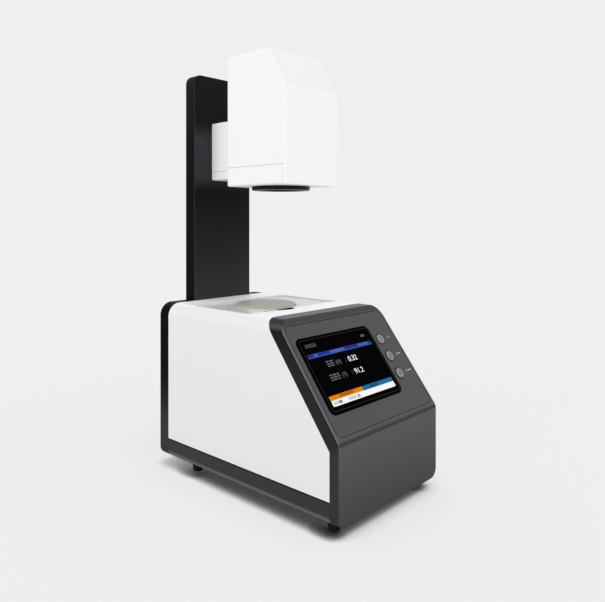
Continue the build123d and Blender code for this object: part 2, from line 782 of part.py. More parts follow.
# Integrating sphere: two flanged halves, an entry neck above and an exit neck above the light trap
z_trap = z_frame + trap_height
sphere_z = (z_port + z_trap) / 2
height_room = (z_port - z_trap) / 2 - neck_length
side_room = body_width / 2 - casing_wall - sphere_flange - sphere_side_clearance
sphere_radius = min(height_room, side_room)
inner_sphere = sphere_radius - sphere_wall
half_profiles = {}
for half, sign in (("upper", 1), ("lower", -1)):
    neck_inner = beam_hole_radius if half == "upper" else exit_port_radius
    neck_end = (z_port if half == "upper" else z_trap) - sphere_z
    neck_outer = neck_inner + neck_wall
    seat = sign * sqrt(sphere_radius ** 2 - neck_outer ** 2)
    mouth = sign * sqrt(inner_sphere ** 2 - neck_inner ** 2)
    rim_z = sign * sphere_flange_thickness
    root = sqrt(sphere_radius ** 2 - sphere_flange_thickness ** 2)
    with BuildSketch(Plane.YZ.offset(0)) as profile:
        with BuildLine():
            Line((inner_sphere, 0), (sphere_radius + sphere_flange, 0))
            Line((sphere_radius + sphere_flange, 0), (sphere_radius + sphere_flange, rim_z))
            Line((sphere_radius + sphere_flange, rim_z), (root, rim_z))
            RadiusArc((root, rim_z), (neck_outer, seat), -sign * sphere_radius)
            Line((neck_outer, seat), (neck_outer, neck_end))
            Line((neck_outer, neck_end), (neck_inner, neck_end))
            Line((neck_inner, neck_end), (neck_inner, mouth))
            RadiusArc((neck_inner, mouth), (inner_sphere, 0), sign * inner_sphere)
        make_face()
    half_profiles[half] = profile.sketch

sphere_centre = Vector(0, axis_y, sphere_z)
post_reach = (sphere_radius + sphere_flange - post_setback) * sqrt(2) / 2
flange_places = [(x * post_reach, axis_y + y * post_reach) for x in (-1, 1) for y in (-1, 1)]
detector_axis = Plane(origin=sphere_centre, x_dir=(1, 0, 0),
                      z_dir=(0, cos(radians(detector_tilt)), sin(radians(detector_tilt))))
with BuildPart() as sphere_upper:
    add(half_profiles["upper"].moved(Location(sphere_centre)))
    revolve(axis=Axis(sphere_centre, (0, 0, 1)))
    with BuildSketch(Plane.XY.offset(sphere_z)):
        with Locations(*flange_places):
            Circle(screw_bore)
    extrude(amount=sphere_flange_thickness, mode=Mode.SUBTRACT)
sphere_upper.part.label = "sphere_upper"
export_step(sphere_upper.part, "parts/sphere_upper.step")

with BuildPart() as sphere_lower:
    add(half_profiles["lower"].moved(Location(sphere_centre)))
    revolve(axis=Axis(sphere_centre, (0, 0, 1)))
    with BuildSketch(Plane.XY.offset(sphere_z)):
        with Locations(*flange_places):
            Circle(screw_bore)
    extrude(amount=-sphere_flange_thickness, mode=Mode.SUBTRACT)
    with BuildSketch(detector_axis):
        Circle(detector_radius + detector_fit)
    extrude(amount=sphere_radius + sphere_flange, mode=Mode.SUBTRACT)
sphere_lower.part.label = "sphere_lower"
export_step(sphere_lower.part, "parts/sphere_lower.step")

with BuildPart() as detector_housing:
    with BuildSketch(detector_axis.offset(inner_sphere)):
        Circle(detector_radius)
    extrude(amount=detector_length)
    with BuildSketch(detector_axis.offset(sphere_radius + detector_fit)):
        Circle(detector_radius + detector_step)
    extrude(amount=detector_step)
detector_housing.part.label = "detector_housing"
export_step(detector_housing.part, "parts/detector_housing.step")

with BuildPart() as sphere_posts:
    with BuildSketch(Plane.XY.offset(z_frame)):
        with Locations(*flange_places):
            RegularPolygon(post_radius, 6)
    extrude(amount=sphere_z - sphere_flange_thickness - z_frame)
    with BuildSketch(Plane.XY.offset(sphere_z - sphere_flange_thickness)):
        with Locations(*flange_places):
            Circle(screw_radius)
    extrude(amount=-rear_block, mode=Mode.SUBTRACT)
sphere_posts.part.label = "sphere_posts"
export_step(sphere_posts.part, "parts/sphere_posts.step")

with BuildPart() as sphere_screws:
    with BuildSketch(Plane.XY.offset(sphere_z + sphere_flange_thickness)):
        with Locations(*flange_places):
            RegularPolygon(screw_head_radius, 6)
    extrude(amount=screw_head_height)
    with BuildSketch(Plane.XY.offset(sphere_z + sphere_flange_thickness)):
        with Locations(*flange_places):
            Circle(screw_radius - screw_hole / 2)
    extrude(amount=-2 * sphere_flange_thickness - rear_block / 2)
sphere_screws.part.label = "sphere_screws"
export_step(sphere_screws.part, "parts/sphere_screws.step")

with BuildPart() as light_trap:
    with Locations((0, axis_y, z_frame)):
        Cylinder(trap_radius, trap_height, align=(Align.CENTER, Align.CENTER, Align.MIN))
    with Locations((0, axis_y, z_frame + trap_floor)):
        Cone(trap_tip_radius, exit_port_radius, trap_height - trap_floor,
             align=(Align.CENTER, Align.CENTER, Align.MIN), mode=Mode.SUBTRACT)
light_trap.part.label = "light_trap"
export_step(light_trap.part, "parts/light_trap.step")

# Column: a steel channel standing on the frame, under a dark cover that sits on the rear panel
z_spine_top = column_top - spine_head_gap
with BuildPart() as column_spine:
    with BuildSketch(Plane.XY.offset(z_frame)):
        with Locations((0, y_spine)):
            Rectangle(spine_width, spine_depth, align=(Align.CENTER, Align.MIN))
        with Locations((0, y_spine + spine_thickness)):
            Rectangle(spine_width - 2 * spine_thickness, spine_depth, align=(Align.CENTER, Align.MIN),
                      mode=Mode.SUBTRACT)
    extrude(amount=z_spine_top - z_frame)
    with BuildSketch(Plane.XY.offset(z_frame)):
        with Locations((0, y_spine)):
            Rectangle(spine_width, spine_foot, align=(Align.CENTER, Align.MAX))
    extrude(amount=spine_foot_thickness)
    for side in (-1, 1):
        with BuildSketch(Plane.YZ.offset(side * (spine_width - spine_thickness) / 2)):
            with BuildLine():
                Polyline((y_spine, z_frame + spine_foot_thickness),
                         (y_spine - spine_foot, z_frame + spine_foot_thickness),
                         (y_spine, z_frame + spine_foot_thickness + gusset_height), close=True)
            make_face()
        extrude(amount=spine_thickness / 2, both=True)
column_spine.part.label = "column_spine"
export_step(column_spine.part, "parts/column_spine.step")

with BuildPart() as column_cover:
    with BuildSketch(Plane.XZ.offset(-y_rear)) as column_outline:
        with Locations((0, z_top)):
            Rectangle(column_width, column_height, align=(Align.CENTER, Align.MIN))
        fillet(column_outline.vertices().group_by(Axis.Y)[-1], column_radius)
    extrude(amount=rear_depth)
    outline_edges = column_cover.edges().filter_by(
        lambda edge: (abs(edge.center().Y - y_rear) < lip_clearance
                      or abs(edge.center().Y - y_rear_joint) < lip_clearance)
        and edge.center().Z > z_top + lip_clearance)
    fillet(outline_edges, column_edge)
    with BuildSketch(Plane.XZ.offset(-y_rear + column_wall)) as column_cavity:
        with Locations((0, z_top)):
            Rectangle(column_width - 2 * column_wall, column_height - column_wall,
                      align=(Align.CENTER, Align.MIN))
        fillet(column_cavity.vertices().group_by(Axis.Y)[-1], column_radius - column_wall)
    extrude(amount=rear_depth - 2 * column_wall, mode=Mode.SUBTRACT)
    with BuildSketch(Plane.XZ.offset(-y_rear_joint)):
        with Locations((0, (beam_bottom + beam_top) / 2)):
            Rectangle(beam_width + 2 * beam_clearance, beam_top - beam_bottom + 2 * beam_clearance)
    extrude(amount=-column_wall, mode=Mode.SUBTRACT)
column_cover.part.label = "column_cover"
export_step(column_cover.part, "parts/column_cover.step")

# Arm: a steel box beam under two white covers, butted between the head and the column
with BuildPart() as arm_beam:
    with BuildSketch(Plane.XZ.offset(-y_spine)):
        with Locations((0, (beam_bottom + beam_top) / 2)):
            Rectangle(beam_width, beam_top - beam_bottom)
            Rectangle(beam_width - 2 * beam_wall, beam_top - beam_bottom - 2 * beam_wall, mode=Mode.SUBTRACT)
    extrude(amount=y_spine - bracket_rear)
arm_beam.part.label = "arm_beam"
export_step(arm_beam.part, "parts/arm_beam.step")

with BuildPart() as arm_block:
    with BuildSketch(Plane.XZ.offset(-y_rear_joint)) as arm_outline:
        with Locations((0, arm_bottom)):
            Rectangle(arm_width, arm_top - arm_bottom, align=(Align.CENTER, Align.MIN))
        fillet(arm_outline.vertices(), arm_edge)
        with Locations((0, arm_bottom + arm_wall)):
            Rectangle(arm_width - 2 * arm_wall, arm_top - arm_bottom - 2 * arm_wall,
                      align=(Align.CENTER, Align.MIN), mode=Mode.SUBTRACT)
    extrude(amount=arm_length)

with BuildPart() as arm_cover:
    add(arm_block.part)
    split(bisect_by=Plane.XY.offset(head_seam_z), keep=Keep.TOP)
arm_cover.part.label = "arm_cover"
export_step(arm_cover.part, "parts/arm_cover.step")

with BuildPart() as arm_lower_cover:
    add(arm_block.part)
    split(bisect_by=Plane.XY.offset(head_seam_z - seam_gap), keep=Keep.BOTTOM)
arm_lower_cover.part.label = "arm_lower_cover"
export_step(arm_lower_cover.part, "parts/arm_lower_cover.step")

# Head bracket: the beam's end plate with a shelf for the optics
with BuildPart() as head_bracket:
    with BuildSketch(Plane.XZ.offset(-bracket_rear)):
        with Locations((0, bracket_shelf_z)):
            Rectangle(bracket_width, bracket_height, align=(Align.CENTER, Align.MIN))
    extrude(amount=bracket_thickness)
    with BuildSketch(Plane.XY.offset(bracket_shelf_z)):
        with Locations((0, bracket_rear)):
            Rectangle(bracket_width, bracket_reach, align=(Align.CENTER, Align.MAX))
        with Locations((0, axis_y)):
            Circle(tube_radius - tube_wall, mode=Mode.SUBTRACT)
    extrude(amount=bracket_thickness)
head_bracket.part.label = "head_bracket"
export_step(head_bracket.part, "parts/head_bracket.step")

# Head: an upper shell whose front runs down over the lower cover
head_rear_inner = head_rear - head_wall
head_front_inner = head_front + head_lip
head_post_places = [
    (x * (head_width / 2 - head_post_inset), y)
    for x in (-1, 1) for y in (head_front + head_post_inset + head_lip, head_rear - head_post_inset)
]
with BuildPart() as head_shell:
    with BuildSketch(Plane.YZ) as head_side:
        with BuildLine():
            Polyline((head_front, head_bottom), (head_front, head_slope_z), (head_slope_y, head_top),
                     (head_rear, head_top), (head_rear, head_seam_z), (head_front_inner, head_seam_z),
                     (head_front_inner, head_bottom), close=True)
        make_face()
        fillet(head_side.vertices().sort_by(Axis.X)[-2:].sort_by(Axis.Y)[-1], head_rear_radius)
    extrude(amount=head_width / 2, both=True)
    sides = head_shell.edges().filter_by(
        lambda edge: abs(abs(edge.center().X) - head_width / 2) < lip_clearance
        and edge.center().Z > head_seam_z + lip_clearance or edge.center().Y < head_front + lip_clearance)
    fillet(sides.filter_by(lambda edge: edge.center().Z > head_bottom + lip_clearance
                           and abs(edge.center().X) > lip_clearance), head_edge)
    with BuildSketch(Plane.YZ):
        with BuildLine():
            Polyline((head_front_inner, head_seam_z), (head_front_inner, head_slope_z),
                     (head_front_inner + (head_slope_rise - head_wall) * head_slope_run / head_slope_rise,
                      head_top - head_wall),
                     (head_rear_inner, head_top - head_wall), (head_rear_inner, head_seam_z), close=True)
        make_face()
    extrude(amount=head_width / 2 - head_wall, both=True, mode=Mode.SUBTRACT)
    with BuildSketch(Plane.XY.offset(head_seam_z)):
        with Locations(*head_post_places):
            Circle(head_post_radius)
    extrude(amount=head_screw_length)
    with BuildSketch(Plane.XY.offset(head_seam_z)):
        with Locations(*head_post_places):
            Circle(screw_radius)
    extrude(amount=head_screw_length - casing_wall, mode=Mode.SUBTRACT)
    with BuildSketch(Plane.XZ.offset(-head_rear)):
        with Locations((0, (beam_bottom + beam_top) / 2)):
            Rectangle(beam_width + 2 * beam_clearance, beam_top - beam_bottom + 2 * beam_clearance)
    extrude(amount=head_wall, mode=Mode.SUBTRACT)
head_shell.part.label = "head_shell"
export_step(head_shell.part, "parts/head_shell.step")

head_lower_front = head_front_inner + seam_gap
head_lower_y = (head_lower_front + head_rear) / 2
head_lower_length = head_rear - head_lower_front
with BuildPart() as head_lower_cover:
    with BuildSketch(Plane.XY.offset(head_bottom)) as lower_outline:
        with Locations((0, head_lower_y)):
            Rectangle(head_width, head_lower_length)
        fillet(lower_outline.vertices().group_by(Axis.Y)[-1], head_edge)
    extrude(amount=head_seam_z - seam_gap - head_bottom)
    chamfer(head_lower_cover.faces().sort_by(Axis.Z)[0].edges().filter_by(
        lambda edge: edge.center().Y > head_lower_front + lip_clearance), head_bottom_edge)
    with BuildSketch(Plane.XY.offset(head_bottom + head_wall)):
        with Locations((0, head_lower_y)):
            Rectangle(head_width - 2 * head_wall, head_lower_length - 2 * head_wall)
    extrude(amount=head_seam_z - head_bottom, mode=Mode.SUBTRACT)
    with BuildSketch(Plane.XY.offset(head_bottom)):
        with Locations(*head_post_places):
            Circle(head_post_radius)
    extrude(amount=head_seam_z - head_bottom)
    with BuildSketch(Plane.XY.offset(head_bottom)):
        with Locations(*head_post_places):
            Circle(screw_bore)
        with Locations((0, axis_y)):
            Circle(lens_neck_radius + lens_hole_clearance)
    extrude(amount=head_seam_z - head_bottom, mode=Mode.SUBTRACT)
    with BuildSketch(Plane.XY.offset(head_bottom)):
        with Locations(*head_post_places):
            Circle(screw_head_radius + 2 * screw_hole)
    extrude(amount=counterbore_depth, mode=Mode.SUBTRACT)
head_lower_cover.part.label = "head_lower_cover"
export_step(head_lower_cover.part, "parts/head_lower_cover.step")

with BuildPart() as head_screws:
    with Locations(*[(x, y, head_bottom + counterbore_depth) for x, y in head_post_places]):
        add(corner_screw(head_seam_z - head_bottom))
head_screws.part.label = "head_screws"
export_step(head_screws.part, "parts/head_screws.step")

# Lens ring under the head, its neck running up to the optics shelf, and the lens on its lip
z_ring = head_bottom - lens_ring_height
with BuildPart() as lens_ring:
    with Locations((0, axis_y, z_ring)):
        Cylinder(lens_ring_radius, lens_ring_height, align=(Align.CENTER, Align.CENTER, Align.MIN))
    chamfer(lens_ring.edges().filter_by(GeomType.CIRCLE).group_by(Axis.Z)[0], lens_ring_edge)
    with Locations((0, axis_y, head_bottom)):
        Cylinder(lens_neck_radius, bracket_shelf_z - head_bottom,
                 align=(Align.CENTER, Align.CENTER, Align.MIN))
    with Locations((0, axis_y, z_ring + lens_lip_height)):
        Cylinder(lens_radius + glass_clearance, bracket_shelf_z - z_ring,
                 align=(Align.CENTER, Align.CENTER, Align.MIN), mode=Mode.SUBTRACT)
    with Locations((0, axis_y, z_ring)):
        Cone(lens_radius + lens_lip, lens_radius - lens_lip, lens_lip_height,
             align=(Align.CENTER, Align.CENTER, Align.MIN), mode=Mode.SUBTRACT)
lens_ring.part.label = "lens_ring"
export_step(lens_ring.part, "parts/lens_ring.step")

with BuildPart() as objective_lens:
    with Locations((0, axis_y, z_ring + lens_lip_height)):
        Cylinder(lens_radius, lens_thickness, align=(Align.CENTER, Align.CENTER, Align.MIN))
objective_lens.part.label = "objective_lens"
export_step(objective_lens.part, "parts/objective_lens.step")

# Optics tube with the condenser on an inner ledge, the lamp board on top and its heat sink
z_condenser = optics_bottom + condenser_up
with BuildPart() as optics_tube:
    with Locations((0, axis_y, optics_bottom)):
        Cylinder(tube_radius + tube_flange, tube_flange, align=(Align.CENTER, Align.CENTER, Align.MIN))
        Cylinder(tube_radius, tube_length, align=(Align.CENTER, Align.CENTER, Align.MIN))
        Cylinder(tube_radius - tube_wall - condenser_ledge, tube_length,
                 align=(Align.CENTER, Align.CENTER, Align.MIN), mode=Mode.SUBTRACT)
    with Locations((0, axis_y, z_condenser)):
        Cylinder(tube_radius - tube_wall, tube_length, align=(Align.CENTER, Align.CENTER, Align.MIN),
                 mode=Mode.SUBTRACT)
optics_tube.part.label = "optics_tube"
export_step(optics_tube.part, "parts/optics_tube.step")

condenser_radius = tube_radius - tube_wall - glass_clearance
crown_radius = (condenser_radius ** 2 + condenser_crown ** 2) / (2 * condenser_crown)
z_crown = z_condenser + condenser_thickness + condenser_crown
with BuildPart() as condenser_lens:
    with Locations((0, axis_y, z_condenser)):
        Cylinder(condenser_radius, condenser_thickness + condenser_crown,
                 align=(Align.CENTER, Align.CENTER, Align.MIN))
    with Locations((0, axis_y, z_crown - crown_radius)):
        Sphere(crown_radius, mode=Mode.INTERSECT)
condenser_lens.part.label = "condenser_lens"
export_step(condenser_lens.part, "parts/condenser_lens.step")

z_lamp = optics_bottom + tube_length
with BuildPart() as lamp_board:
    with Locations((0, axis_y, z_lamp)):
        Box(lamp_side, lamp_side, lamp_board_thickness, align=(Align.CENTER, Align.CENTER, Align.MIN))
        Cylinder(lamp_radius, lamp_height, align=(Align.CENTER, Align.CENTER, Align.MAX))
lamp_board.part.label = "lamp_board"
export_step(lamp_board.part, "parts/lamp_board.step")

with BuildPart() as heat_sink:
    with Locations((0, axis_y, z_lamp + lamp_board_thickness)):
        Box(lamp_side, lamp_side, sink_base, align=(Align.CENTER, Align.CENTER, Align.MIN))
        with GridLocations((lamp_side - fin_thickness) / (fin_count - 1), 0, fin_count, 1):
            Box(fin_thickness, lamp_side, sink_height, align=(Align.CENTER, Align.CENTER, Align.MIN))
heat_sink.part.label = "heat_sink"
export_step(heat_sink.part, "parts/heat_sink.step")

# Feet: rubber cones, each held by a screw in its recess
for place, (x, y) in foot_places.items():
    with BuildPart() as foot:
        with Locations((x, y, 0)):
            Cone(foot_bottom_radius, foot_top_radius, foot_height,
                 align=(Align.CENTER, Align.CENTER, Align.MIN))
        chamfer(foot.edges().filter_by(GeomType.CIRCLE).group_by(Axis.Z)[0], foot_edge)
        with Locations((x, y, 0)):
            Cylinder(foot_recess_radius, foot_recess_depth, align=(Align.CENTER, Align.CENTER, Align.MIN),
                     mode=Mode.SUBTRACT)
            Cylinder(screw_bore, foot_height, align=(Align.CENTER, Align.CENTER, Align.MIN),
                     mode=Mode.SUBTRACT)
    foot.part.label = "foot_" + place
    export_step(foot.part, "parts/foot_" + place + ".step")

with BuildPart() as foot_screws:
    with Locations(*[(x, y, foot_recess_depth) for x, y in foot_places.values()]):
        add(corner_screw(foot_screw_length))
foot_screws.part.label = "foot_screws"
export_step(foot_screws.part, "parts/foot_screws.step")

# Rear screws, sunk in the panel's counterbores
with BuildPart() as rear_screws:
    with BuildSketch(Plane.XZ.offset(counterbore_depth - y_rear)):
        with Locations(*rear_screw_places):
            Circle(screw_radius)
    extrude(amount=rear_screw_length)
    with BuildSketch(Plane.XZ.offset(counterbore_depth - y_rear)):
        with Locations(*rear_screw_places):
            Circle(screw_head_radius)
    extrude(amount=-screw_head_height)
rear_screws.part.label = "rear_screws"
export_step(rear_screws.part, "parts/rear_screws.step")

# Power switch: a frame in the bay and a rocker on two pins
z_switch = bay_bottom + switch_up
y_flange = y_bay + bay_flange
y_pivot = y_flange - rocker_sink
half_well = rocker_radius + rocker_clearance
half_slot = rocker_width / 2 + rocker_clearance
with BuildPart() as power_switch_frame:
    with BuildSketch(Plane.XZ.offset(-y_flange)):
        with Locations((bay_x, z_switch)):
            RectangleRounded(2 * (half_slot + 2 * rocker_wall), 2 * (half_well + 2 * rocker_wall),
                             rocker_wall)
    extrude(amount=bay_flange)
    with BuildSketch(Plane.XZ.offset(-y_bay)):
        with Locations((bay_x, z_switch)):
            Rectangle(2 * (half_slot + rocker_wall), 2 * (half_well + rocker_wall))
    extrude(amount=bay_board_gap)
    with BuildSketch(Plane.XZ.offset(-y_flange)):
        with Locations((bay_x, z_switch)):
            Rectangle(2 * half_slot, 2 * half_well)
    extrude(amount=rocker_well, mode=Mode.SUBTRACT)
    with BuildSketch(Plane.YZ.offset(bay_x)):
        with Locations((y_pivot, z_switch)):
            Circle(rocker_pin_radius + rocker_pin_clearance)
    extrude(amount=half_slot + rocker_wall, both=True, mode=Mode.SUBTRACT)
power_switch_frame.part.label = "power_switch_frame"
export_step(power_switch_frame.part, "parts/power_switch_frame.step")

rocker_cos = cos(radians(rocker_tilt))
rocker_sin = sin(radians(rocker_tilt))
rocker_plane = Plane(origin=(bay_x, y_pivot, z_switch), x_dir=(0, rocker_cos, -rocker_sin), z_dir=(1, 0, 0))
with BuildPart() as power_rocker:
    with BuildSketch(rocker_plane):
        Circle(rocker_radius)
        with BuildLine():
            Polyline((rocker_valley, 0),
                     (rocker_valley + rocker_radius * tan(radians(rocker_slope)), rocker_radius),
                     (-rocker_back, rocker_radius), (-rocker_back, -rocker_radius),
                     (rocker_valley + rocker_radius * tan(radians(rocker_slope)), -rocker_radius), close=True)
        make_face(mode=Mode.INTERSECT)
    extrude(amount=rocker_width / 2, both=True)
    with BuildSketch(rocker_plane):
        Circle(rocker_pin_radius)
    extrude(amount=half_slot + rocker_wall * 3 / 4, both=True)
power_rocker.part.label = "power_rocker"
export_step(power_rocker.part, "parts/power_rocker.step")

# Data socket and power inlet, both on a small board behind the bay
z_usb = bay_bottom + usb_up
z_inlet = bay_bottom + inlet_up
with BuildPart() as usb_port:
    with BuildSketch(Plane.XZ.offset(-y_flange)):
        with Locations((bay_x, z_usb)):
            Rectangle(usb_width, usb_height)
    extrude(amount=bay_flange + bay_board_gap)
    with BuildSketch(Plane.XZ.offset(-y_flange)):
        with Locations((bay_x, z_usb)):
            Rectangle(usb_width - 2 * usb_wall, usb_height - 2 * usb_wall)
            Rectangle(usb_tongue, usb_tongue_height, mode=Mode.SUBTRACT)
    extrude(amount=usb_depth, mode=Mode.SUBTRACT)
usb_port.part.label = "usb_port"
export_step(usb_port.part, "parts/usb_port.step")

with BuildPart() as dc_inlet:
    with BuildSketch(Plane.XZ.offset(-y_flange)):
        with Locations((bay_x, z_inlet)):
            Circle(inlet_flange_radius)
    extrude(amount=bay_flange)
    with BuildSketch(Plane.XZ.offset(-y_bay)):
        with Locations((bay_x, z_inlet)):
            Circle(inlet_radius)
    extrude(amount=bay_board_gap)
    with BuildSketch(Plane.XZ.offset(-y_flange)):
        with Locations((bay_x, z_inlet)):
            Circle(inlet_bore)
            Circle(inlet_pin, mode=Mode.SUBTRACT)
    extrude(amount=inlet_depth, mode=Mode.SUBTRACT)
dc_inlet.part.label = "dc_inlet"
export_step(dc_inlet.part, "parts/dc_inlet.step")

with BuildPart() as port_board:
    with BuildSketch(Plane.XZ.offset(-y_bay_board)):
        with Locations((bay_x, (z_inlet + z_usb) / 2)):
            Rectangle(bay_width - 2 * bay_wall, z_usb - z_inlet + 2 * inlet_flange_radius)
    extrude(amount=board_thickness)
port_board.part.label = "port_board"
export_step(port_board.part, "parts/port_board.step")
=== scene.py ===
import json
from math import cos, pi, radians, sin, tan

import bmesh
import bpy
from mathutils import Matrix, Vector


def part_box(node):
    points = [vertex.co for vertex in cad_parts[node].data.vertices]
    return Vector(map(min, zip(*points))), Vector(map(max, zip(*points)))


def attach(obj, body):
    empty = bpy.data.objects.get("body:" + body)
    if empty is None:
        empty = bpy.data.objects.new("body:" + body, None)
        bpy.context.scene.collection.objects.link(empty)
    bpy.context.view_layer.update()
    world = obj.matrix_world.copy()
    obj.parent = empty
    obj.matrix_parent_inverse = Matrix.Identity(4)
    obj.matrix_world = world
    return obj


# Looks of a benchtop haze meter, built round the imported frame. X runs to the right, Y to the back and Z up.
# Lengths are in metres, unless a name or a comment says mm.
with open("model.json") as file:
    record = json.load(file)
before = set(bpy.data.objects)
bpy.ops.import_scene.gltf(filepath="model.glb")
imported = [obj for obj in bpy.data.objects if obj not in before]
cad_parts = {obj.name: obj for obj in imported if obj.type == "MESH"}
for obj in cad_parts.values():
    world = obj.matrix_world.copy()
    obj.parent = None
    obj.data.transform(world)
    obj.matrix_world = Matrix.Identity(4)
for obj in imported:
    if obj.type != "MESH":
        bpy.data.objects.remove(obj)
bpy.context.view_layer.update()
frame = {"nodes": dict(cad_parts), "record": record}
nodes = frame["nodes"]

MM = 0.001
BODY = "base"

# Directions
UP = (0.0, 0.0, 1.0)
BACK = (0.0, 1.0, 0.0)
FRONT = (0.0, -1.0, 0.0)
FRONT_LEFT = (-0.707, -0.707, 0.0)
# Out of the rounded edge between the bezel's slope and its left side, where a highlight is painted
SLOPE_EDGE = (-0.707, -0.561, 0.430)

# The sloping panel: its lower edge is the bend, and places on it are X and the distance up the slope, in mm
PANEL_ANGLE = radians(52.5)
BEND_HEIGHT_MM = 97.0
panel_origin = Vector((0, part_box("front_bezel")[0].y, BEND_HEIGHT_MM * MM))
panel_right = Vector((1, 0, 0))
panel_up = Vector((0, cos(PANEL_ANGLE), sin(PANEL_ANGLE)))
panel_out = Vector((0, -sin(PANEL_ANGLE), cos(PANEL_ANGLE)))
panel_axes = Matrix((panel_right, panel_up, panel_out)).transposed().to_4x4()
panel_frame = Matrix.Translation(panel_origin) @ panel_axes

# Heights over the panel's surface, in mm
WINDOW_FACE_MM = 1.2
BUTTON_FACE_MM = 1.3
INK_MM = 0.03
LIT_STEP_MM = 0.02
FIGURES_MM = WINDOW_FACE_MM + 2 * LIT_STEP_MM

# Photograph's view, as a camera in the part's frame
IMAGE_WIDTH, IMAGE_HEIGHT = 605, 602
FOCAL_PX = 619.93
HORIZON_PX = 220.26
CAMERA_PLACE = (-0.58375, -0.55699, 0.32627)
CAMERA_YAW = radians(47.334)
SENSOR_MM = 36.0

# Background and light
BACKGROUND = 0.863
FLOOR_SIZE = 24.0
FLOOR_TONE = 0.80
PAPER_SCALE = 3.0
PAPER_SPREAD = 1.002
BACKDROP_SHARE = 0.75
# Shade on the floor beside the object: how it leans, how far it reaches and its share by openness
SIDE_SHADE = ((0.85, 0.0, 0.53), 0.0215,
              [(0.0, 0.02), (0.42, 0.04), (0.55, 0.17), (0.66, 0.45), (0.74, 0.82), (0.86, 1.0),
               (1.0, 1.0)])
FRONT_SHADE = ((0.0, 0.7, 0.7), 0.034,
               [(0.0, 0.66), (0.2, 0.72), (0.4, 0.83), (0.6, 0.95), (0.7, 1.0), (1.0, 1.0)])
SHADE_SAMPLES = 16
# The shade thins out between these places along Y, by this much
REAR_FADE_START, REAR_FADE_END = 0.08, 0.15
REAR_FADE_SHARE = 0.6
# Suns: name, direction of their light and strength
SUNS = (("key", (-0.3, 0.1, -1.0), 0.45),
        ("side", (1.0, 0.0, -0.4), 0.55),
        ("front", (0.2, 1.0, -0.3), 0.25))
SUN_ANGLE = radians(60)

# The range that noise mostly stays in
NOISE_LOW, NOISE_HIGH = 0.2, 0.8
# Moulded plastic: its cloudy tone, how far its roughness swings, and how strongly its grain shows
MOULDED_CLOUDS = 9.0
MOULDED_SMOOTHER, MOULDED_ROUGHER = 0.05, 0.07
GRAIN_STRENGTH = 0.6
# Metal: its cloudy tone, the swing of its roughness, and its streaks
METAL_CLOUDS = 25.0
METAL_DULL, METAL_BRIGHT = 0.88, 1.1
METAL_SWING = 0.1
STREAK_DEPTH, STREAK_STRENGTH = 0.00002, 0.4
# Polished panes: their cloudy tone, and the wiping marks in their gloss
PANE_CLOUDS = 14.0
SMEAR_STRETCH = (60.0, 18.0, 60.0)
SMEAR_LOW = 0.35
SMEAR_ROUGHER = 0.06
SMEAR_DEPTH, SMEAR_STRENGTH = 0.000008, 0.3
# Lit display: its pixel rows and the glass when unlit
PIXEL_ROWS = 900.0
PIXEL_ROW_SHARE = 0.94
DISPLAY_BASE = 0.001
DISPLAY_ROUGH = 0.3

# Painted light and shade: the tables below make pieces lighter or darker by how they face and by height
# Shares of a piece's colour, as pairs of a value and the share there: first by the normal's part along Z
BEZEL_BEND = [(-0.3, 0.8), (-0.02, 1.0), (0.06, 0.75), (0.25, 0.36), (0.45, 0.7), (0.59, 1.0),
              (0.63, 1.0), (0.72, 0.68), (0.94, 0.62), (0.985, 1.35), (1.0, 1.45)]
TRAY_TURN = [(-0.95, 0.8), (-0.8, 3.0), (-0.5, 5.0), (-0.3, 2.4), (-0.1, 1.0)]
HEAD_RISE = [(-1.0, 1.0), (0.1, 1.0), (0.4, 0.93), (1.0, 0.93)]
# Then by the height in mm
BEZEL_FRONT = [(8, 0.68), (30, 0.78), (92, 1.12), (98, 1.0), (200, 0.97), (206, 0.85), (210, 0.6),
               (213, 0.6), (214.4, 1.0)]
BEZEL_SIDE = [(8, 0.38), (85, 0.36), (95, 0.24), (165, 0.18), (200, 0.11)]
TRAY_SEAM = [(33.0, 1.0), (33.3, 0.05), (34.6, 0.05)]
REAR_SIDE = [(38, 1.0), (66, 0.78), (80, 0.5), (108, 0.18), (125, 0.1)]
COLUMN_FRONT = [(214, 1.55), (300, 0.75), (368, 0.36), (388, 1.5), (440, 1.7), (462, 0.52), (530, 0.52)]
COLUMN_SIDE = [(214, 0.15), (420, 0.22), (530, 0.55)]

# The finger notch in the cover: its middle, and the reach of its wall, which is painted dark as shade
NOTCH_PLACE, NOTCH_REACH = (-0.022, 0.007, 0.2135), 0.0262

# Shares of the white paint, as painted light and shade: lighter or darker copies of one white
CASING_SHARE, CASING_TOP_SHARE = 0.875, 1.05
ARM_SHARE = 1.07
HEAD_SHARE, HEAD_FRONT_SHARE = 0.985, 1.04


def linear(red, green, blue):
    """A screen colour, 0 to 255, as the shader's linear one."""
    def one(value):
        value /= 255
        return value / 12.92 if value <= 0.04045 else ((value + 0.055) / 1.055) ** 2.4
    return (one(red), one(green), one(blue), 1)


def grey(value):
    return (value, value, value, 1)


def tinted(colour, share):
    return tuple(channel * share for channel in colour[:3]) + (1,)


WHITE = linear(244, 244.5, 245.5)
# Painted shade and highlights: dark cut edges and rear rim, light bezel and column edges
CUT_EDGE_SHADE = linear(10, 9, 9)
BEZEL_EDGE_HIGHLIGHT = linear(118, 118, 118)
REAR_RIM_SHADE = linear(22, 22, 24)
COLUMN_EDGE_HIGHLIGHT = linear(56, 56, 60)


